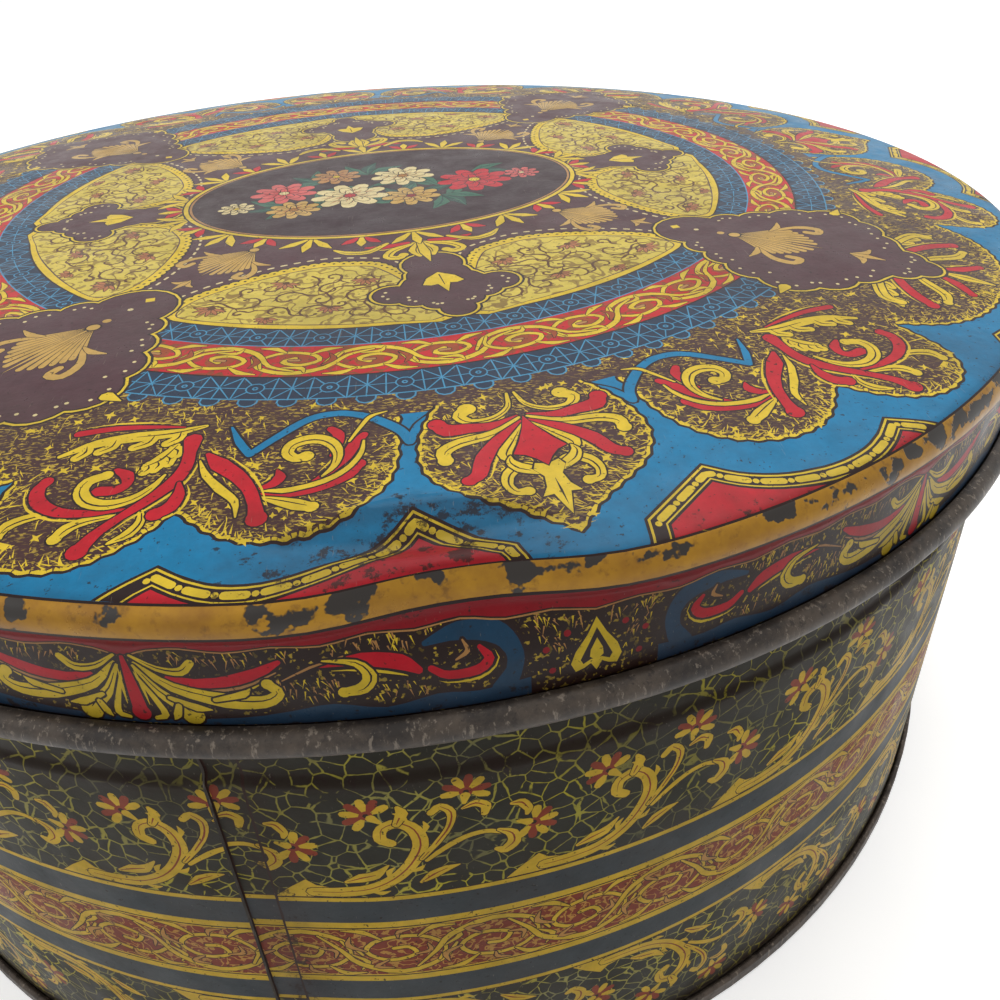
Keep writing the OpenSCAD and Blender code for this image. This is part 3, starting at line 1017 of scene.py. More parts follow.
def wall_wear_and_seam_darkening(y, angle):
    """Share of rubbed and dirty print at the wall's foot and shoulder, and of darkening along the step beside
    the side seam.
    """
    # Darker along the step where the strip beside the seam is pressed in
    seam = 0.7 * np.exp(-(degrees_from(angle, SEAM_ANGLE + STRIP_W) / 2.2) ** 2)
    foot = held((9 - y) / 6)
    shoulder = 0.8 * np.exp(-((y - SHOULDER_Z - 1.0) / 2.2) ** 2)
    return held(np.maximum.reduce([seam, foot, shoulder]))


def seam_dip(angle, height):
    """Depth of the pressed-in strip at the side seam, in millimetres."""
    away = (np.degrees(angle) - SEAM_ANGLE + 1e-7) % 360
    right = 1 - 0.25 * (away > STRIP_W) - 0.75 * eased((away - STRIP_W) / STRIP_RAMP)
    left = 0.3 * held((away - 353) / 7) ** 2
    ends = held((height - 3.8) / 5) * held((STRIP_TOP - height) / 5)
    return STRIP_DEPTH * np.where(away < 180, right, left) * ends


def round_axis(radius, height, angle):
    return np.stack([radius * np.cos(angle), radius * np.sin(angle), height], -1)


def lid_place(s, angle):
    radius, height = lid_side.at(s)
    inward, down = dent(s, angle)
    return round_axis(radius - inward, height - down, angle)


def wall_place(y, angle):
    radius, height = wall_side.at(y + wall_zero)
    return round_axis(radius - seam_dip(angle, height), height, angle)


def facing(place, s, angle, sign):
    """Normals of a surface by small steps along and round it."""
    small_s, small_a = 0.02, 0.0004
    along = place(s + small_s, angle) - place(s - small_s, angle)
    around = place(s, angle + small_a) - place(s, angle - small_a)
    normal = np.cross(along, around) * sign
    length = np.linalg.norm(normal, axis=-1, keepdims=True)
    return normal / np.maximum(length, 1e-9)


# Print of the lid's skirt

def skirt_place(angle, height):
    """A point of the skirt on the flat drawing, by its angle from the axis of a spear and its height."""
    part = (lid_side.reach > rim_start) & (lid_side.reach < curl_start)
    return polar(angle, float(np.interp(-height, -lid_side.height[part], lid_side.reach[part])))


# Strokes of the skirt: degrees from the axis of a spear and height
SKIRT_HOOK = [(8.4, 98.6), (6.8, 99.3), (5.0, 98.7), (4.2, 96.6), (4.2, 94.0), (4.8, 91.2)]
HOOK_WIDTHS = [0.3, 0.9, 1.2, 1.0, 1.0, 1.5]
SKIRT = (
    ("red", [(5.8, 97.4), (5.4, 96.0), (6.0, 94.7), (7.4, 94.6), (8.2, 95.8)], [0.3, 0.6, 0.7, 0.6, 0.4]),
    ("tan", [(6.6, 98.4), (6.4, 97.2), (7.0, 96.4)], [0.1, 0.3, 0.1]),
    ("red", [(8.8, 95.8), (9.6, 97.0), (11.4, 97.9), (13.6, 97.7)], [0.5, 0.9, 0.8, 0.2]),
    ("tan", [(15.2, 96.0), (13.8, 97.6), (12.2, 98.6)], [0.08, 0.16, 0.08]),
    ("yellow", [(13.2, 98.3), (11.7, 97.6), (11.1, 95.8), (11.5, 94.2), (12.4, 93.8)],
     [0.1, 0.4, 0.8, 0.85, 0.6]),
    ("red", [(15.2, 98.6), (16.8, 96.6), (18.8, 95.4), (20.6, 96.6)], [0.3, 1.0, 1.2, 0.3]),
    ("tan", [(15.4, 97.2), (17.2, 95.2), (19.4, 94.8), (21.2, 96.4), (22.0, 98.6)],
     [0.08, 0.18, 0.18, 0.16, 0.08]),
    ("yellow", [(22.1, 99.6), (21.0, 97.9), (19.9, 97.5), (19.3, 98.8)], [0.2, 0.4, 0.6, 0.5]),
    ("yellow", [(22.0, 98.6), (20.5, 95.2), (18.1, 93.3), (16.3, 93.0), (15.5, 94.2), (15.9, 95.6)],
     [0.2, 0.7, 1.1, 0.9, 0.7, 0.6]),
    ("yellow", [(22.1, 98.2), (21.3, 94.6), (20.3, 92.2), (19.9, 91.0)], [0.2, 0.6, 0.9, 1.1]),
    ("yellow", [(22.3, 97.6), (21.6, 93.6), (21.3, 91.0), (21.8, 90.4)], [0.15, 0.35, 0.45, 0.3]),
    ("yellow", [(20.8, 93.6), (19.6, 92.2), (18.9, 91.9)], [0.3, 0.55, 0.1]),
    ("yellow", [(20.5, 92.4), (20.7, 91.0), (20.9, 90.3)], [0.4, 0.5, 0.1]),
    ("yellow", [(18.6, 93.4), (17.2, 94.2), (16.8, 95.0)], [0.3, 0.5, 0.1]),
    ("red", [(22.5, 99.4), (22.5, 95.0), (22.5, 91.2)], [0.25, 0.7, 0.95]),
)
SKIRT_SCALLOPS = [(0, 99.8), (2.2, 100.4), (4.4, 100.0), (6.6, 100.7), (8.8, 100.3), (11, 100.9),
                  (13.2, 100.4),
                  (15.4, 100.9), (17.6, 100.4), (19.6, 101.0), (21.2, 100.7), (22.5, 99.6)]
SKIRT_WAVE = [(3.4, 92.2), (6.0, 91.6), (8.0, 92.1), (10.5, 91.0), (13.0, 92.2), (15.0, 91.5),
              (17.5, 90.7), (22.5, 90.2)]
SPEAR = [(0, 98.6), (0.5, 96.4), (1.1, 94.4), (1.35, 92.7), (1.1, 91.4), (0.65, 91.7), (0.3, 92.2), (0, 91.0)]
SPEAR_HOLLOW = [(0, 97.2), (0.5, 94.8), (0.85, 93.0), (0.7, 92.3), (0.3, 92.8), (0, 92.8)]
SPEAR_CORE = [(0, 95.8), (0.32, 94.2), (0.36, 93.2), (0, 92.4)]
# Patches of engraved strokes on the skirt: from and to in degrees and height, and how many
SKIRT_HATCH = ((7.5, 13.0, 98.8, 100.9, 46), (12.6, 15.6, 93.4, 96.2, 40), (0.8, 3.6, 98.4, 99.9, 22),
               (14.5, 20.5, 98.8, 100.4, 34), (1.6, 3.2, 92.5, 97.5, 16), (8.4, 11.0, 92.6, 94.6, 18))
SKIRT_DOTS = ((1.5, 97.2), (2.3, 92.4), (2.6, 95.6))
SKIRT_LOW = 89.6


def skirt_unit():
    """Half of one repeat of the skirt, from a spear to the middle of a palmette."""
    scallops = smooth(placed(SKIRT_SCALLOPS), 3)
    wave = smooth(placed(SKIRT_WAVE), 3)

    def between(line, drop, level):
        back = np.linspace(line[-1].real, line[0].real, 12)
        return [skirt_place(p.real, p.imag - drop) for p in line] + [skirt_place(a, level) for a in back]

    motif = []
    for first, last, low, high, count in SKIRT_HATCH:
        for _ in range(count):
            foot = skirt_place(random.uniform(first, last), random.uniform(low, high))
            out = unit(foot)
            way = out * cmath.exp(1j * random.gauss(0.3, 0.3)) * random.uniform(0.6, 1.5)
            motif.append((random.choice(("yellow", "tan")), [foot, foot + 0.2j * out, foot + way]))
    hook = placed(SKIRT_HOOK, skirt_place)
    for ink, grow in (("line", 0.3), ("steel", 0.0)):
        motif.append((ink, between(wave, -grow, SKIRT_LOW)))
        motif.append((ink, brush(hook, HOOK_WIDTHS, 4, grow)))
    for ink, drop in (("tan", 0.34), ("line", 0.16), ("deep_red", 0.0)):
        motif.append((ink, between(scallops, drop, RED_TOP)))
    motif += strokes(SKIRT, skirt_place, 0.26)
    motif += [("deep_red", disc(skirt_place(*spot), 0.45, 8)) for spot in SKIRT_DOTS]
    motif += lined("yellow", both(placed(SPEAR, skirt_place)), skirt_place(0, 94), 0.35)
    for ink, shape in (("line", SPEAR_HOLLOW), ("yellow", SPEAR_CORE)):
        motif.append((ink, both(placed(shape, skirt_place))))
    return motif


# Radii of the rings of the lid's print, and how often their patterns repeat
GROUND_R = 94.6
OUTER_LATTICE, OUTER_CELLS = (84.1, 89.7), 112
SCROLL_RING, SCROLL_WAVES = (75.5, 83.5), 48
INNER_LATTICE, INNER_CELLS = (69.6, 75.1), 96
SKIRT_UNITS = 8
BUCKLE = 2.0


def lid_layers():
    """Everything printed on the lid, from the lowest ink to the highest."""
    def quarters(motif):
        return [part for k in range(4) for part in turned(motif, 90 * k)]

    layers = [ring("edge", print_end), ring("umber_stipple", skirt_end + 1.2)]
    unit_half = skirt_unit()
    for k in range(SKIRT_UNITS):
        angle = 360 / SKIRT_UNITS * k
        layers += turned(unit_half, angle) + turned(mirrored(unit_half), angle)
    layers += [ring("line", gold_end + 0.5), ring("gold", gold_end)]
    layers += [ring("line", gold_start + 0.3), ring("blue", gold_start)]
    quarter = panel_quadrant()
    for k in range(4):
        layers += turned(brackets(gold_start, 0.0 if k else BUCKLE), 90 * k)
    layers += [ring("stipple", GROUND_R)] + quarters(quarter)
    for ink, size in (("pale_blue", 1.4), ("navy", 1.15)):
        spots = [polar(360 / OUTER_CELLS * (k + 0.5), 90.0) for k in range(OUTER_CELLS)]
        layers += [(ink, disc(spot, size, 10)) for spot in spots]
    layers += lattice(*OUTER_LATTICE, OUTER_CELLS)
    layers += [ring("line", OUTER_LATTICE[0]), ring("ring_red", OUTER_LATTICE[0] - 0.3)]
    layers += running_scroll(*SCROLL_RING, SCROLL_WAVES) + lattice(*INNER_LATTICE, INNER_CELLS)
    layers += [ring("line", INNER_LATTICE[0]), ring("brown", INNER_LATTICE[0] - 0.3)]
    inner, large = inner_quadrant()
    return turned(layers + quarters(inner) + quarters(large) + medallion(), PRINT_ANGLE - 90)


# Print of the wall: the real part runs round the wall from the seam, the imaginary part is the height

LOWER_LINE, SCROLL_LOW, SCROLL_TOP, UPPER_LINE = 28.7, 34.0, 48.7, 54.0
SPRAYS, WALL_WAVES, STARS = 26, 60, 96
SPRAY_START = WALL_R * math.radians(274.2 - SEAM_ANGLE)
LOWER_SHIFT = 9
# Bands of the wall: how far their edges lie inside the two lines or the scroll, and the ink
LINE_BANDS = ((-0.6, "wall_line"), (-0.42, "wall_gold"), (0.42, "slate"))
SCROLL_BANDS = ((0.0, "wall_gold"), (1.25, "wall_line"), (1.5, "wall_gold"), (1.75, "scroll_red"))
# Strokes of the wall's flower sprays: across and above the line that they stand on
SPRAY = (
    ([(5.0, 1.4), (9.0, 1.4), (12.5, 2.0), (15.6, 3.8), (18.0, 6.6), (19.5, 10.2), (19.0, 13.4),
      (17.2, 15.0), (15.2, 14.2), (14.8, 12.2), (16.0, 11.2)],
     [0.9, 1.0, 0.95, 0.95, 1.0, 1.0, 0.9, 0.8, 0.8, 0.7]),
    ([(9.6, 3.6), (11.6, 4.4), (13.4, 4.9), (15.2, 6.8)], [0.3, 0.9, 0.8, 0.15]),
    ([(19.0, 2.6), (20.6, 3.9), (22.4, 4.8), (24.0, 5.2)], [0.3, 0.8, 0.6, 0.1]),
    ([(20.0, 7.0), (22.2, 8.9), (25.0, 10.6), (27.6, 11.0), (29.6, 10.2)], [0.3, 0.45, 0.4, 0.35]),
    ([(29.2, 10.8), (30.8, 9.6), (31.0, 7.8), (29.8, 6.6), (28.8, 7.0)], [0.3, 0.8, 0.9, 0.8, 0.4]),
    ([(19.4, 7.4), (21.6, 10.4), (23.2, 13.2), (23.6, 15.8), (22.4, 17.2), (21.2, 16.2)],
     [0.3, 0.45, 0.45, 0.6, 0.6, 0.5]),
    ([(25.0, 16.2), (26.6, 16.8), (27.8, 16.0), (27.6, 14.6)], [0.2, 0.6, 0.7, 0.5]),
    ([(17.0, 14.8), (17.8, 16.8), (17.4, 18.0)], [0.5, 0.8, 0.3]),
    ([(31.0, 15.4), (32.2, 15.2), (33.0, 13.8), (32.8, 12.8)], [0.3, 0.7, 0.6, 0.3]),
)
BASE_LEAF = [(0, 0.3), (2.0, 2.2), (4.4, 4.1), (5.6, 2.9), (8.4, 2.1), (8.4, 0.6), (4.0, 0.3)]
BLOSSOMS = ((13.6, 16.9, 135, 3.0), (25.6, 19.2, 80, 2.9), (33.6, 10.8, -25, 3.0))
# Strokes of the wall's scroll band: shares of a half wave across and of half the band's height
WALL_SCROLL = (
    ("wall_gold", [(-0.34, 0.7), (-0.12, 0.1), (0.06, -0.5), (0.5, -0.88), (0.92, -0.52), (1.1, 0.1)],
     [0.15, 0.4, 0.55, 0.42, 0.2]),
    ("wall_gold", [(0.9, -0.5), (0.98, 0.08), (0.72, 0.62), (0.32, 0.56), (0.14, 0.06), (0.36, -0.34),
                   (0.66, -0.16),
                   (0.6, 0.18), (0.44, 0.16)], [0.2, 0.34, 0.36, 0.34, 0.34]),
    ("wall_gold", [(0.72, 0.62), (0.88, 0.92), (1.1, 0.88)], [0.15, 0.5, 0.1]),
    ("wall_gold", [(0.32, 0.56), (0.14, 0.88), (-0.08, 0.94)], [0.15, 0.5, 0.1]),
    ("wall_tan", [(0.14, 0.06), (-0.03, 0.3), (0.0, 0.66)], [0.15, 0.46, 0.1]),
    ("wall_tan", [(0.36, -0.34), (0.22, -0.62), (0.4, -0.68)], [0.12, 0.4, 0.1]),
    ("wall_gold", [(0.98, 0.08), (1.14, 0.4), (1.06, 0.74)], [0.12, 0.42, 0.1]),
    ("wall_tan", [(0.66, -0.16), (0.82, -0.06), (0.8, 0.24)], [0.12, 0.36, 0.1]),
    ("wall_tan", [(0.5, 0.62), (0.52, 0.84), (0.66, 0.94)], [0.12, 0.36, 0.1]),
)


def blossom(centre, angle, size):
    """A half-open flower: petals in two inks round a dark heart."""
    motif = []
    for k, lean in enumerate((-104, -70, -35, 0, 35, 70, 104)):
        way = turn(angle) * turn(lean) * size
        petal = [centre + share * way for share in (0.25, 0.62, 0.9)]
        ink = "wall_red" if k % 2 else "wall_gold"
        motif.append((ink, brush(petal, [0.08 * size, 0.21 * size, 0.18 * size], 2)))
    motif += [("wall_red", disc(centre, 0.3 * size, 8)), ("wall_line", disc(centre, 0.14 * size, 6))]
    stalk = [centre - share * size * turn(angle) for share in (0.7, 0.25)]
    return motif + [("wall_gold", brush(stalk, [0.1 * size, 0.22 * size], 2))]


def spray():
    """A leafy stem with three flowers, standing on a line."""
    motif = lined("wall_gold", placed(BASE_LEAF), 4.5 + 2j, 0.16, "wall_line")
    for points, widths in SPRAY:
        path = placed(points)
        motif += stroke("wall_gold", path, widths, 0.14, 3, "wall_line")
        if max(widths) > 0.55:
            motif.append(("wall_red", brush(path[:-1], [0.05, 0.13, 0.05], 3)))
    stem = smooth(placed(SPRAY[0][0]), 3)
    for k, side in ((6, -1), (9, 1), (11, -1), (14, -1), (17, -1), (20, -1)):
        along = unit(stem[k + 1] - stem[k])
        foot = stem[k] + 0.8j * side * along
        leaf = [foot + along * complex(u, v * side) for u, v in ((0, 0), (0.8, 0.7), (1.9, 0.8))]
        motif.append(("wall_gold", brush(leaf, [0.2, 0.42, 0.08], 2)))
    for x, y, angle, size in BLOSSOMS:
        motif += blossom(complex(x, y), angle, size)
    return motif


def wall_layers():
    """Everything printed on the wall, from the lowest ink to the highest."""
    def band(ink, low, high):
        across = [WALL_LENGTH * k / COLUMNS for k in range(COLUMNS + 1)]
        return (ink, [complex(x, low) for x in across] + [complex(x, high) for x in reversed(across)])

    print_top = SHOULDER_Z + 9.0
    foot_top = SEAM_H + 0.2
    layers = [band("neck", WALL_LOW, WALL_HIGH), band("edge", WALL_LOW, foot_top)]
    layers.append(band("olive", foot_top, print_top))
    layers += [band(ink, LOWER_LINE + inset, UPPER_LINE - inset) for inset, ink in LINE_BANDS]
    layers += [band(ink, SCROLL_LOW + inset, SCROLL_TOP - inset) for inset, ink in SCROLL_BANDS]
    for k in range(STARS):
        spot = complex((k + 0.5) * WALL_LENGTH / STARS, print_top - 1)
        points = [spot + (1.7 if j % 2 else 0.5) * cmath.exp(1j * math.pi * j / 5) for j in range(10)]
        layers.append(("wall_tan" if k % 3 else "wall_red", points))
    step = WALL_LENGTH / WALL_WAVES
    middle, reach = (SCROLL_LOW + SCROLL_TOP) / 2, (SCROLL_TOP - SCROLL_LOW) / 2 - 1.6
    for k in range(WALL_WAVES):
        up = 1 if k % 2 else -1
        for ink, points, widths in WALL_SCROLL:
            path = [complex((k + u) * step, middle + up * v * reach) for u, v in points]
            layers += stroke(ink, path, widths, 0.16, 3, "wall_line")
    step = WALL_LENGTH / SPRAYS
    upright = spray()
    for k in range(-2, SPRAYS + 1):
        foot = complex(k * step + SPRAY_START, 0)
        layers += mapped(upright, lambda p: p + foot + 1j * (UPPER_LINE + 0.4))
        layers += mapped(upright, lambda p: p.conjugate() + foot + LOWER_SHIFT + 1j * (LOWER_LINE - 0.4))
    # Two dark lines down the seam: one along the edge of the sheet, where it joins, and painted shade along
    # the crease where the strip beside it is pressed in
    for x, half_width in ((0.15, 0.15), (WALL_R * math.radians(STRIP_W), 0.2)):
        heights = np.arange(SEAM_H + 1, STRIP_TOP, 2.0)
        side = [complex(x + half_width + random.uniform(-0.08, 0.12), z) for z in heights]
        layers.append(("wall_line", side[::-1] + [complex(max(0.0, x - half_width), p.imag) for p in side]))
    return [(ink, clipped(points)) for ink, points in layers]


def clipped(points):
    """The part of an outline that lies between the two edges of the wall's sheet."""
    for edge, sign in ((0.0, 1), (WALL_LENGTH, -1)):
        kept = []
        for a, b in zip(points, points[1:] + points[:1]):
            in_a, in_b = sign * (a.real - edge) >= 0, sign * (b.real - edge) >= 0
            if in_a:
                kept.append(a)
            if in_a != in_b:
                share = (edge - a.real) / (b.real - a.real)
                kept.append(complex(edge, a.imag + share * (b.imag - a.imag)))
        points = kept
        if not points:
            return []
    return points


# Shells: points, faces and the ink of each face

class Shell:
    def __init__(self):
        self.points = []
        self.normals = []
        self.wear = []
        self.flat = []
        self.faces = []
        self.inks = []

    def add(self, points, normals, flat, wear=None):
        """Adds points with normals, places on the flat map and wear (on the lid with painted dent shade), and
        returns the first's number.
        """
        start = len(self.points)
        self.flat += list(flat)
        self.points += [tuple(p) for p in points]
        self.normals += [tuple(n) for n in normals]
        self.wear += [0.5] * len(points) if wear is None else [float(w) for w in wear]
        return start

    def cover(self, faces, inks):
        self.faces += faces
        self.inks += inks

    def strip(self, rows, ink, right_hand):
        """Quads between rows of point numbers round the axis, facing to the right of the rows' path."""
        for low, high in zip(rows, rows[1:]):
            quads = list(zip(low, low[1:] + low[:1], high[1:] + high[:1], high))
            self.cover([quad if right_hand else quad[::-1] for quad in quads], [ink] * len(quads))

    def build(self, name, finishes):
        """Makes an object with the finishes as materials, a colour for each face and wear for each point,
        which on the lid holds painted dent shade too.
        """
        mesh = bpy.data.meshes.new(name)
        mesh.from_pydata([tuple(c * MM for c in p) for p in self.points], [], self.faces)
        names = sorted({FINISH_OF[ink] for ink in self.inks})
        for finish in names:
            mesh.materials.append(finishes[finish])
        colours = {ink: rgb(*FINISH_INKS[finish][ink]) for ink, finish in FINISH_OF.items()}
        mesh.polygons.foreach_set("material_index", [names.index(FINISH_OF[ink]) for ink in self.inks])
        mesh.polygons.foreach_set("use_smooth", [True] * len(self.faces))
        layer = mesh.attributes.new("ink", "FLOAT_COLOR", "FACE")
        layer.data.foreach_set("color", [c for ink in self.inks for c in colours[ink]])
        # The wear attribute holds wear, and on the lid painted dent shade as well
        mesh.attributes.new("wear", "FLOAT", "POINT").data.foreach_set("value", self.wear)
        corners = np.empty(len(mesh.loops), dtype=np.int32)
        mesh.loops.foreach_get("vertex_index", corners)
        flat = np.array(self.flat)[corners] + complex(0.5, 0.5)
        mesh.uv_layers.new(name="OFBake").data.foreach_set("uv", np.stack([flat.real, flat.imag], -1).ravel())
        mesh.update()
        mesh.normals_split_custom_set_from_vertices(self.normals)
        piece = bpy.data.objects.new(name, mesh)
        bpy.context.scene.collection.objects.link(piece)
        return piece


def linear(value):
    """A channel of an sRGB colour as light."""
    share = value / 255
    return share / 12.92 if share <= 0.04045 else ((share + 0.055) / 1.055) ** 2.4


def rgb(*values):
    return tuple(linear(v) for v in values) + (1.0,)


def neat(points):
    """An outline without repeated points, turned so that its inside lies to its left."""
    kept = []
    for p in points:
        if not kept or abs(p - kept[-1]) > SHORTEST:
            kept.append(p)
    while len(kept) > 1 and abs(kept[0] - kept[-1]) <= SHORTEST:
        kept.pop()
    area = sum((a.conjugate() * b).imag for a, b in zip(kept, kept[1:] + kept[:1]))
    return kept if area > 0 else kept[::-1]


def triangulated(points, edges, faces):
    """Triangles that keep the given edges and faces, with the sources of each point, edge and triangle."""
    out = delaunay_2d_cdt([Vector((p.real, p.imag)) for p in points], edges, faces, 0, 1e-5, True)
    return ([complex(v[0], v[1]) for v in out[0]],) + tuple(out[1:])


def inked(layers):
    """Edges between different inks once all the layers are laid on each other.
    Returns the points and, for each edge, its two points and the inks on its left and right."""
    points, faces, inks = [], [], []
    for ink, outline in layers:
        outline = neat(outline)
        if len(outline) < 3:
            continue
        faces.append(list(range(len(points), len(points) + len(outline))))
        points += outline
        inks.append(ink)
    made, _, triangles, _, _, origins = triangulated(points, [], faces)
    left_of = {}
    for (a, b, c), sources in zip(triangles, origins):
        if sources:
            left_of[a, b] = left_of[b, c] = left_of[c, a] = inks[max(sources)]
    edges = {}
    for (a, b), ink in left_of.items():
        other = left_of.get((b, a))
        if other != ink and (b, a) not in edges:
            edges[a, b] = (ink, other)
    return made, edges


def straightened(points, edges, slack):
    """Edges without the points that lie nearly on the line between their two neighbours."""
    for _ in range(8):
        ends = {}
        for edge in edges:
            for p in edge:
                ends.setdefault(p, []).append(edge)
        busy = set()
        for p, pair in ends.items():
            if len(pair) != 2 or p in busy:
                continue
            first, second = pair
            if first[1] != p or second[0] != p:
                first, second = second, first
            if first[1] != p or second[0] != p or edges[first] != edges[second]:
                continue
            a, b = first[0], second[1]
            span = points[b] - points[a]
            if a in busy or b in busy or a == b or abs(span) < 0.001 or abs(span) > 6:
                continue
            if (a, b) in edges or (b, a) in edges:
                continue
            if abs(((points[p] - points[a]) * span.conjugate()).imag) / abs(span) > slack:
                continue
            edges[a, b] = edges.pop(first)
            edges.pop(second)
            busy.update((a, p, b))
    return edges


def filled(layers, lines):
    """Triangles of all the layers, each with the ink that was laid on it last.
    Each line is a list of points, and whether it is closed. Returns the points, the triangles,
    their inks and the new numbers of the points of the lines."""
    points, edges = [], []
    for line, closed in lines:
        numbers = list(range(len(points), len(points) + len(line)))
        points += line
        edges += list(zip(numbers, numbers[1:]))
        if closed:
            edges.append((numbers[-1], numbers[0]))
    line_points, line_edges = len(points), len(edges)
    made, borders = inked(layers)
    borders = straightened(made, borders, SLACK)
    used = sorted({p for edge in borders for p in edge})
    place = {p: line_points + k for k, p in enumerate(used)}
    points += [made[p] for p in used]
    edges += [(place[a], place[b]) for a, b in borders]
    sides = list(borders.values())
    flat, new_edges, triangles, point_origins, edge_origins, _ = triangulated(points, edges, [])
    number = {old: new for new, olds in enumerate(point_origins) for old in olds if old < line_points}
    triangles = [tuple(t) for t in triangles]
    owner = {}
    for k, (a, b, c) in enumerate(triangles):
        owner[a, b] = owner[b, c] = owner[c, a] = k
    inks = [None] * len(triangles)
    walls, queue = set(), []
    for (u, v), olds in zip(new_edges, edge_origins):
        for old in olds:
            if old < line_edges:
                continue
            a, b = edges[old]
            same = ((points[b] - points[a]).conjugate() * (flat[v] - flat[u])).real > 0
            left, right = sides[old - line_edges] if same else sides[old - line_edges][::-1]
            for edge, ink in (((u, v), left), ((v, u), right)):
                walls.add(edge)
                k = owner.get(edge)
                if k is not None and ink is not None and inks[k] is None:
                    inks[k] = ink
                    queue.append(k)
    while queue:
        k = queue.pop()
        a, b, c = triangles[k]
        for u, v in ((a, b), (b, c), (c, a)):
            other = owner.get((v, u))
            if (u, v) not in walls and other is not None and inks[other] is None:
                inks[other] = inks[k]
                queue.append(other)
    kept = [k for k in range(len(triangles)) if inks[k]]
    return flat, [triangles[k] for k in kept], [inks[k] for k in kept], number


def spun(shell, path, ink, radii, first=None, move=None, right_hand=False, start_angle=0.0):
    """Rows of quads that turn a path about the axis, joined to an earlier row if one is given.
    The path is a list of points, radii holds those of the first and last row on the flat map,
    and move gives the shift inward and down at a point."""
    angles = math.radians(start_angle) + np.arange(COLUMNS) * 2 * math.pi / COLUMNS
    rows = [first] if first is not None else []
    for k, p in enumerate(path):
        side = 1j * heading(path, k) * (-1 if right_hand else 1)
        inward, down = move(k, angles, p.imag) if move else (0, 0)
        points = round_axis(p.real - inward, p.imag - down + np.zeros(COLUMNS), angles)
        normals = round_axis(side.real, np.full(COLUMNS, side.imag), angles)
        radius = radii[0] + (radii[1] - radii[0]) * (k + 1) / len(path)
        start = shell.add(points, normals, radius * np.exp(1j * angles))
        rows.append(list(range(start, start + COLUMNS)))
    shell.strip(rows, ink, right_hand)
    return rows[-1]


def lid_shell():
    """The lid: its printed outer side, its curl and its lining."""
    shell = Shell()
    rings = [*np.linspace(flat_r, rim_start - 3, 4), *np.linspace(rim_start, gold_end + 1.2, 9),
             gold_end + 5.0, *np.linspace(curl_start - 3.2, curl_start, 8), print_end]
    lines = [([s * cmath.exp(2j * math.pi * k / COLUMNS) for k in range(COLUMNS)], True) for s in rings]
    turns = [turn(DENT_ANGLE + 0.75 * k) for k in range(-15, 16)]
    for s in [*np.arange(rim_start - 14.5, rim_start, 1.1), *np.arange(gold_end + 2, curl_start - 3.5, 1.5)]:
        lines.insert(0, ([s * way for way in turns], False))
    flat, triangles, inks, number = filled(lid_layers(), lines)
    s = np.abs(flat)
    angle = np.angle(flat)
    normals = facing(lid_place, s, angle, 1)
    normals[s < 0.05] = (0, 0, 1)
    shell.add(lid_place(s, angle), normals, np.array(flat) * LID_PRINT_MAP / print_end, lid_wear_and_dent_shade(s, angle))
    shell.cover(triangles, inks)
    last = sum(len(line) for line, _ in lines[:-1])
    edge_row = [number[last + k] for k in range(COLUMNS)]
    tail = [p for p, reach in zip(lid_side.points, lid_side.reach) if reach > print_end + 0.05]
    row = spun(shell, tail, "bare", (LID_PRINT_MAP, 0.425), edge_row)
    back = subdivided(lid_inner[:0:-1], 1.2)
    curl_size = curl_mid + HALF + 0.05
    end = next(k for k, p in enumerate(back) if abs(p - complex(curl_r, curl_z)) > curl_size)
    row = spun(shell, back[:end], "bare", (0.425, 0.445), row)
    lining_reach = [lid_side.reach_beside(p) for p in back[end:]]

    def knocked(k, angles, height):
        return dent(lining_reach[k], angles)

    row = spun(shell, back[end:], "inside", (0.445, 0.498), row, knocked)
    middle = shell.add([(0, 0, crown_z - HALF)], [(0, 0, -1)], [0.499 + 0j])
    shell.cover([(b, a, middle) for a, b in zip(row, row[1:] + row[:1])], ["inside"] * COLUMNS)
    return shell


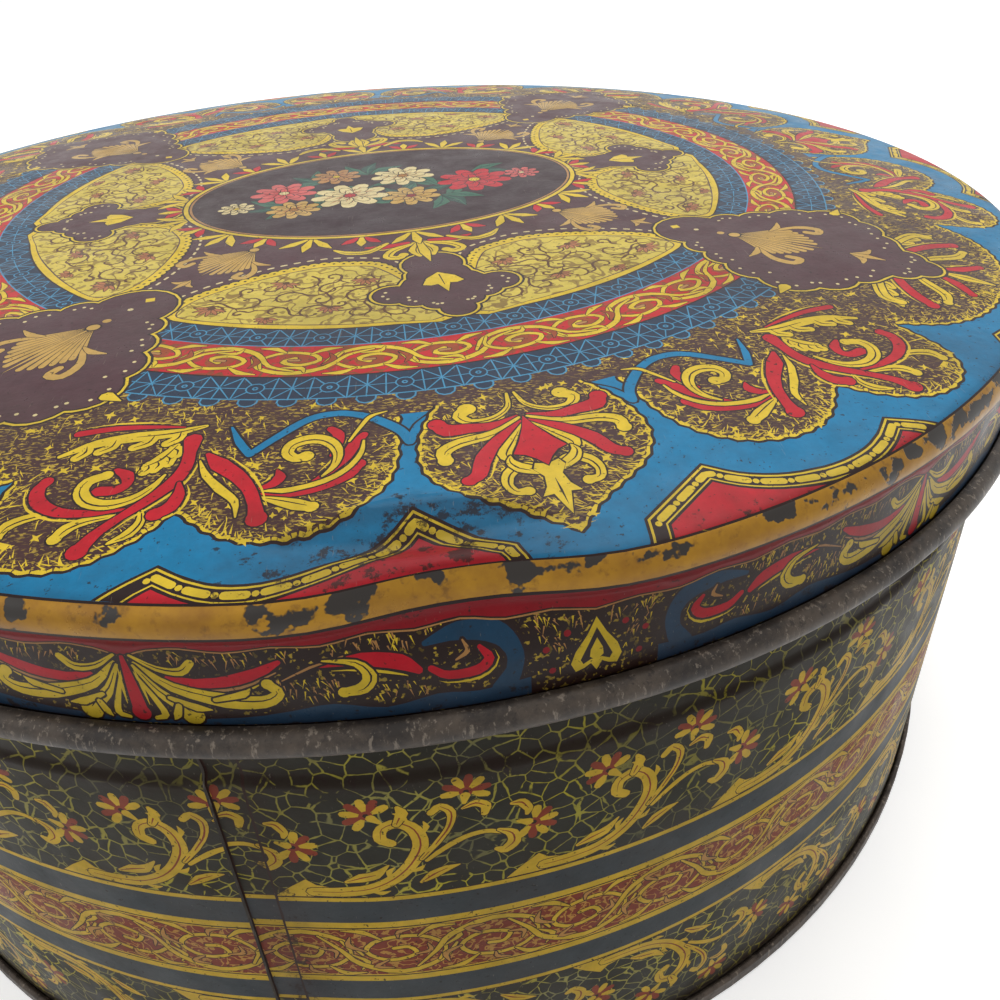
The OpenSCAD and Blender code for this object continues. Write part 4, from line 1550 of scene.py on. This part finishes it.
def body_shell():
    """The wall: its printed outer side, then its neck with the curl, its inside and its hook in the seam."""
    shell = Shell()
    heights = [*np.linspace(WALL_LOW, SHOULDER_Z - 1, 9), *np.linspace(SHOULDER_Z, SHOULDER_Z + 3.2, 9),
               *np.linspace(SHOULDER_Z + 5, WALL_HIGH, 4)]
    lines = [([complex(WALL_LENGTH * k / COLUMNS, y) for k in range(COLUMNS + 1)], False) for y in heights]
    strip = [WALL_R * math.radians(STRIP_W + away) for away in (-0.12, 0.12, 2, 4, 6, 8)]
    lines += [([complex(x, y) for y in heights], False) for x in [0.0, WALL_LENGTH] + strip]
    flat, triangles, inks, _ = filled(wall_layers(), lines)
    x, y = np.real(flat), np.imag(flat)
    angle = math.radians(SEAM_ANGLE) + x / WALL_R
    angle = np.where(x > WALL_LENGTH - 0.001, math.radians(SEAM_ANGLE + 360 - 1e-5), angle)
    normals = facing(wall_place, y, angle, -1)
    near_edge = (x < 0.1) | (x > WALL_LENGTH - 0.1)
    normals[near_edge] = round_axis(1, np.zeros_like(angle), angle)[near_edge]
    inner, outer = WALL_PRINT_MAP
    radius = inner + (outer - inner) * (y - WALL_LOW) / (WALL_HIGH - WALL_LOW)
    shell.add(wall_place(y, angle), normals, radius * np.exp(1j * angle), wall_wear_and_seam_darkening(y, angle))
    shell.cover(triangles, inks)
    left, right = (sorted(np.flatnonzero(edge), key=lambda k: y[k])
                   for edge in (x < 0.001, x > WALL_LENGTH - 0.001))
    zipped(shell, [int(k) for k in left], [int(k) for k in right], y, "edge")

    def move(k, angles, height):
        return seam_dip(angles, height) + neck_dent(angles, height), 0

    def end(y):
        radius, height = wall_side.at(y + wall_zero)
        return complex(radius, height)

    sides = list(zip(wall_side.points, wall_side.reach))
    neck = [end(WALL_HIGH)] + [p for p, reach in sides if reach > WALL_HIGH + wall_zero + 0.05]
    hook = [p for p, reach in sides if reach < WALL_LOW + wall_zero - 0.05] + [end(WALL_LOW)]
    row = spun(shell, neck, "neck", (outer, 0.45), None, move, True, SEAM_ANGLE)
    row = spun(shell, subdivided(wall_inner[::-1], 4.0), "inside", (0.45, 0.49), row, move, True, SEAM_ANGLE)
    spun(shell, hook, "edge", (0.49, 0.499), row, move, True, SEAM_ANGLE)
    return shell


def zipped(shell, left, right, heights, ink):
    """Triangles between two upright rows of points, taken in order of height."""
    a = b = 0
    while a < len(left) - 1 or b < len(right) - 1:
        left_goes_on = a < len(left) - 1
        right_goes_on = b < len(right) - 1
        if not right_goes_on or (left_goes_on and heights[left[a + 1]] <= heights[right[b + 1]]):
            face = (left[a], left[a + 1], right[b])
            a += 1
        else:
            face = (left[a], right[b + 1], right[b])
            b += 1
        shell.cover([face], [ink])


# Materials

class Nodes:
    """Adds nodes to a material or a world, with their values and links given by name."""

    def __init__(self, owner):
        owner.use_nodes = True
        self.owner = owner
        self.tree = owner.node_tree
        self.tree.nodes.clear()
        self.coordinates = self.add("TexCoord").outputs
        self.here = self.coordinates["Object"]

    def put(self, socket, value):
        if isinstance(value, bpy.types.NodeSocket):
            self.tree.links.new(value, socket)
        else:
            socket.default_value = value

    def add(self, kind, inputs=None, **settings):
        made = self.tree.nodes.new("ShaderNode" + kind)
        for key, value in settings.items():
            setattr(made, key, value)
        for key, value in (inputs or {}).items():
            self.put(made.inputs[key], value)
        return made

    def mix(self, factor, first, second, blend="MIX"):
        made = self.add("Mix", {0: factor}, data_type="RGBA", blend_type=blend)
        self.put(made.inputs[6], first)
        self.put(made.inputs[7], second)
        return made.outputs[2]

    def maths(self, operation, *values):
        return self.add("Math", dict(enumerate(values)), operation=operation).outputs[0]

    def ramp(self, factor, low, high, low_value=0.0, high_value=1.0):
        ends = {"From Min": low, "From Max": high, "To Min": low_value, "To Max": high_value}
        return self.add("MapRange", {"Value": factor, **ends}).outputs[0]

    def noise(self, scale, detail=4.0, rough=0.6, at=None):
        values = {"Vector": at or self.here, "Scale": scale, "Detail": detail, "Roughness": rough}
        return self.add("TexNoise", values).outputs[0]

    def cloud(self, noise, *ends):
        """A noise, given by its scale, detail and roughness, through a ramp."""
        return self.ramp(self.noise(*noise), *ends)

    def stretched(self, scale, angle):
        turns = (0, 0, math.radians(angle))
        return self.add("Mapping", {"Vector": self.here, "Scale": scale, "Rotation": turns}).outputs[0]

    def grey(self, value):
        return self.add("CombineColor", {0: value, 1: value, 2: value}).outputs[0]

    def attribute(self, name, output):
        return self.add("Attribute", attribute_name=name).outputs[output]

    def bump(self, height, strength, distance):
        return self.add("Bump", {"Height": height, "Strength": strength, "Distance": distance}).outputs[0]

    def finish(self, shader, inputs, output="OutputMaterial"):
        made = self.add(shader, inputs)
        self.add(output, {"Surface": made.outputs[0]})
        return self.owner


def printed(name, ground=None, wear=1.0, roughness=0.32, gloss=0.14):
    """Varnished print on tinplate, with specks, scratches, rubbed places and an uneven gloss. The wear
    attribute darkens it, and on the lid that attribute also holds painted shade at the dent.
    """
    n = Nodes(bpy.data.materials.new(name))
    colour = n.attribute("ink", "Color")
    if ground:
        colour = ground(n, colour)
    colour = n.mix(1.0, colour, n.grey(n.cloud((320.0, 5.0, 0.7), 0.3, 0.7, 0.8, 1.1)), "MULTIPLY")
    colour = n.mix(n.cloud((38.0, 6.0, 0.7), 0.48, 0.78, 0.0, 0.4 * wear), colour, rgb(58, 42, 32))
    colour = n.mix(n.cloud((1500.0, 4.0, 0.55), 0.64, 0.69, 0.0, 0.8 * wear), colour, rgb(36, 27, 23))
    # The wear attribute holds rubbed and dirty places, and on the lid painted shade at the dent: it makes
    # dark patches likelier and darkens the print
    rubbed = n.attribute("wear", "Fac")
    patches = n.maths("ADD", n.noise(330.0, 6.0, 0.72), n.maths("MULTIPLY", rubbed, 0.16))
    colour = n.mix(n.ramp(patches, 0.66, 0.71, 0.0, 0.85), colour, rgb(34, 27, 22))
    colour = n.mix(n.maths("MULTIPLY", rubbed, 0.5), colour, rgb(44, 26, 24))
    lines = [n.noise(1.0, 3.0, 0.6, n.stretched((3000.0, 160.0, 900.0), angle)) for angle in (25, -55)]
    scratches = n.ramp(n.maths("MAXIMUM", *lines), 0.7, 0.75, 0.0, 0.3 * wear)
    colour = n.mix(scratches, colour, rgb(156, 146, 130))
    rough = n.cloud((120.0, 5.0, 0.7), 0.3, 0.7, roughness - 0.08, roughness + 0.16)
    height = n.maths("ADD", n.noise(900.0, 4.0, 0.6), n.maths("MULTIPLY", n.noise(70.0, 3.0, 0.5), 2.0))
    return n.finish("BsdfPrincipled", {"Base Color": colour, "Roughness": rough, "Specular IOR Level": gloss,
                                       "Normal": n.bump(height, 0.08, 0.0005)})


def stippled(n, colour, fewer=0.0):
    """Fine yellow flecks and short engraved strokes on the ground ink."""
    fine = n.noise(1500.0, 2.0, 0.5, n.stretched((1.0, 2.4, 1.0), 35))
    flecks = n.ramp(fine, 0.55 + fewer, 0.59 + fewer)
    where = n.cloud((240.0, 3.0, 0.6), 0.4 + fewer, 0.58 + fewer, 0.15, 0.95)
    return n.mix(n.maths("MULTIPLY", flecks, where), colour, rgb(196, 166, 62))


def few_stippled(n, colour):
    """The same with fewer flecks."""
    return stippled(n, colour, 0.045)


def crackled(n, colour):
    """Thin broken lines that part the dark ground into small cells."""
    bent = n.add("TexNoise", {"Vector": n.here, "Scale": 300.0, "Detail": 2.0}).outputs["Color"]
    shift = n.add("VectorMath", {0: bent, 1: (0.0009, 0.0009, 0.0009)}, operation="MULTIPLY").outputs[0]
    moved = n.add("VectorMath", {0: n.here, 1: shift}, operation="ADD").outputs[0]
    parted = n.add("TexVoronoi", {"Vector": moved, "Scale": 400.0}, feature="DISTANCE_TO_EDGE")
    cells = parted.outputs["Distance"]
    uneven = n.cloud((500.0, 2.0, 0.5), 0.3, 0.7, 0.01, 0.06)
    lines = n.ramp(n.maths("SUBTRACT", cells, uneven), 0.014, -0.014)
    whole = n.cloud((330.0, 2.0, 0.5), 0.36, 0.42)
    faint = n.cloud((30.0, 3.0, 0.6), 0.34, 0.58, 0.35, 1.0)
    tint = n.mix(n.cloud((60.0, 3.0), 0.35, 0.65), rgb(150, 146, 96), rgb(206, 192, 62))
    return n.mix(n.maths("MULTIPLY", n.maths("MULTIPLY", lines, whole), faint), colour, tint)


def winding(n, scale, *ends):
    """Thin lines that wind between the high and the low places of a noise."""
    return n.ramp(n.maths("ABSOLUTE", n.maths("SUBTRACT", n.noise(scale, 1.0, 0.4), 0.5)), *ends)


def leafy(n, colour):
    """Thin winding stems and small shaded leaves on a field."""
    stems = winding(n, 300.0, 0.034, 0.02, 0.0, 0.75)
    leaves = n.cloud((620.0, 1.5, 0.5), 0.6, 0.62, 0.0, 0.6)
    return n.mix(n.maths("MAXIMUM", stems, leaves), colour, rgb(112, 78, 40))


def filigree(n, colour):
    """Thin winding lines and small leaves on the ground of the wall's scroll."""
    lines = winding(n, 560.0, 0.03, 0.018)
    leaves = n.cloud((820.0, 2.0, 0.5), 0.59, 0.61)
    return n.mix(n.maths("MAXIMUM", lines, leaves), colour, rgb(196, 146, 72))


def gold_rim(name):
    """Gold lacquer on the roll of the rim, rubbed through to dark metal."""
    n = Nodes(bpy.data.materials.new(name))
    colour = n.attribute("ink", "Color")
    colour = n.mix(n.cloud((90.0, 5.0, 0.7), 0.4, 0.75, 0.0, 0.85), colour, rgb(112, 68, 20))
    colour = n.mix(n.cloud((700.0, 4.0, 0.6), 0.55, 0.7, 0.0, 0.6), colour, rgb(96, 62, 22))
    # On the lid the wear attribute also holds painted dent shade, which reaches the gold's inner edge at the
    # dent
    rubbed = n.maths("MULTIPLY", n.attribute("wear", "Fac"), 0.23)
    worn = n.ramp(n.maths("ADD", n.noise(190.0, 4.0, 0.55), rubbed), 0.65, 0.67)
    colour = n.mix(worn, colour, rgb(32, 25, 20))
    whole = n.maths("SUBTRACT", 1.0, worn)
    rough = n.cloud((160.0, 5.0, 0.7), 0.3, 0.7, 0.24, 0.46)
    return n.finish("BsdfPrincipled", {"Base Color": colour, "Roughness": rough, "Specular IOR Level": 0.4,
                                       "Metallic": n.maths("MULTIPLY", whole, 0.35),
                                       "Normal": n.bump(whole, 0.3, 0.0002)})


def bare_metal(name, dark, light, metallic, roughness):
    """Dull worn tinplate with tarnish and fine scratches."""
    n = Nodes(bpy.data.materials.new(name))
    colour = n.mix(n.cloud((150.0, 6.0, 0.75), 0.38, 0.62), rgb(*dark), rgb(*light))
    scratch = n.noise(1.0, 4.0, 0.65, n.stretched((1500.0, 1500.0, 240.0), 20))
    colour = n.mix(n.ramp(scratch, 0.57, 0.66, 0.0, 0.5), colour, rgb(150, 138, 124))
    colour = n.mix(n.cloud((700.0, 4.0, 0.7), 0.58, 0.66, 0.0, 0.75), colour, rgb(34, 27, 23))
    rough = n.cloud((220.0, 5.0, 0.7), 0.3, 0.7, roughness - 0.08, roughness + 0.15)
    return n.finish("BsdfPrincipled", {"Base Color": colour, "Roughness": rough, "Metallic": metallic,
                                       "Normal": n.bump(n.noise(800.0, 5.0, 0.7), 0.15, 0.0003)})


# The wall's print is more worn, rougher and less glossy than the lid's
WALL_PRINT = (1.1, 0.4, 0.08)
finishes = {
    "varnish": printed("lid_varnish"),
    "stipple": printed("lid_stipple", stippled),
    "dark_stipple": printed("skirt_stipple", few_stippled),
    "leafy": printed("lid_leafy", leafy),
    "wall_varnish": printed("wall_varnish", None, *WALL_PRINT),
    "crackle": printed("wall_crackle", crackled, *WALL_PRINT),
    "filigree": printed("wall_filigree", filigree, *WALL_PRINT),
    "gold": gold_rim("rim_gold"),
    "bare": bare_metal("worn_edge", (34, 28, 25), (76, 66, 57), 0.35, 0.43),
    # Darker than the lining: painted shade under the lid's curl, on scratched tinplate
    "neck": bare_metal("shaded_neck_tinplate", (78, 70, 59), (126, 115, 99), 0.35, 0.42),
    "lining": bare_metal("tin_lining", (152, 142, 124), (184, 174, 156), 0.4, 0.42),
}


def dress():
    """The printed shells in place of two solids, and a finish for the third."""
    lid = lid_shell().build("lid_print_shell", finishes)
    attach(lid, "lid")
    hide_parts("lid")
    body = body_shell().build("body_print_shell", finishes)
    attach(body, "tin")
    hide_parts("body_wall")
    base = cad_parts["base_plate"]
    base.data.materials.clear()
    base.data.materials.append(bare_metal("base_tinplate", (46, 40, 36), (84, 74, 66), 0.6, 0.5))


# Floor, light and camera

def background_rays(n):
    """1 for the rays that show the background, straight, mirrored or through glass, and 0 for others."""
    path = n.add("LightPath").outputs
    indirect = n.maths("MAXIMUM", path["Is Glossy Ray"], path["Is Transmission Ray"])
    return n.maths("MAXIMUM", path["Is Camera Ray"], indirect)


def make_floor():
    bpy.ops.mesh.primitive_plane_add(size=12)
    floor = bpy.context.active_object
    floor.name = "floor"
    n = Nodes(bpy.data.materials.new("pale_floor"))
    seen = background_rays(n)
    tone = n.maths("MULTIPLY", n.cloud((40.0, 4.0), 0.3, 0.7, 0.95, 0.98), n.ramp(seen, 0, 1, 0.4, 1.0))
    floor.data.materials.append(n.finish("BsdfPrincipled", {
        "Base Color": n.grey(tone), "Roughness": 0.8, "Specular IOR Level": 0.1,
        "Emission Color": (1, 1, 1, 1), "Emission Strength": n.maths("MULTIPLY", seen, 0.4)}))


# Lamps: their places and sizes in metres and their power in watts
LAMPS = {"key": ((0.3, 0.5, 1.3), 1.2, 10), "fill": ((-0.8, -0.7, 0.9), 1.0, 2.5)}


def make_lights():
    world = bpy.data.worlds.new("studio")
    bpy.context.scene.world = world
    n = Nodes(world)
    up = n.add("SeparateXYZ", {0: n.coordinates["Generated"]}).outputs[2]
    dome = n.ramp(up, 0.0, 0.9, 0.2, 0.72)
    strength = n.ramp(background_rays(n), 0, 1, dome, 1.0)
    n.finish("Background", {"Color": (1.0, 0.99, 0.97, 1), "Strength": strength}, "OutputWorld")
    aim = Vector((0, 0, 0.08))
    for name, (place, size, power) in LAMPS.items():
        data = bpy.data.lights.new(name, "AREA")
        data.energy = power
        data.size = size
        lamp = bpy.data.objects.new(name, data)
        bpy.context.scene.collection.objects.link(lamp)
        lamp.location = place
        lamp.rotation_euler = (aim - Vector(place)).to_track_quat("-Z", "Y").to_euler()


# The camera's place in millimetres and its turns in degrees, fitted to the photograph's view
CAMERA_PLACE = (5.15, -188.86, 164.72)
CAMERA_YAW, CAMERA_DOWN, CAMERA_ROLL = 6.043, 31.766, -2.300


def make_camera():
    data = bpy.data.cameras.new("camera")
    data.sensor_width = 36.0
    data.lens = 31.80
    data.shift_x = -0.0125
    data.shift_y = -0.0764
    data.clip_start = 0.005
    camera = bpy.data.objects.new("camera", data)
    bpy.context.scene.collection.objects.link(camera)
    yaw, down, roll = (math.radians(angle) for angle in (CAMERA_YAW, CAMERA_DOWN, CAMERA_ROLL))
    ahead = Vector((math.sin(yaw) * math.cos(down), math.cos(yaw) * math.cos(down), -math.sin(down)))
    level = Vector((math.cos(yaw), -math.sin(yaw), 0))
    right = level * math.cos(roll) + level.cross(ahead) * math.sin(roll)
    axes = Matrix((right, right.cross(ahead), -ahead)).transposed().to_4x4()
    camera.matrix_world = Matrix.Translation(Vector(CAMERA_PLACE) * MM) @ axes
    bpy.context.scene.camera = camera


dress()
make_floor()
make_lights()
make_camera()
bpy.context.scene.view_settings.view_transform = "Standard"
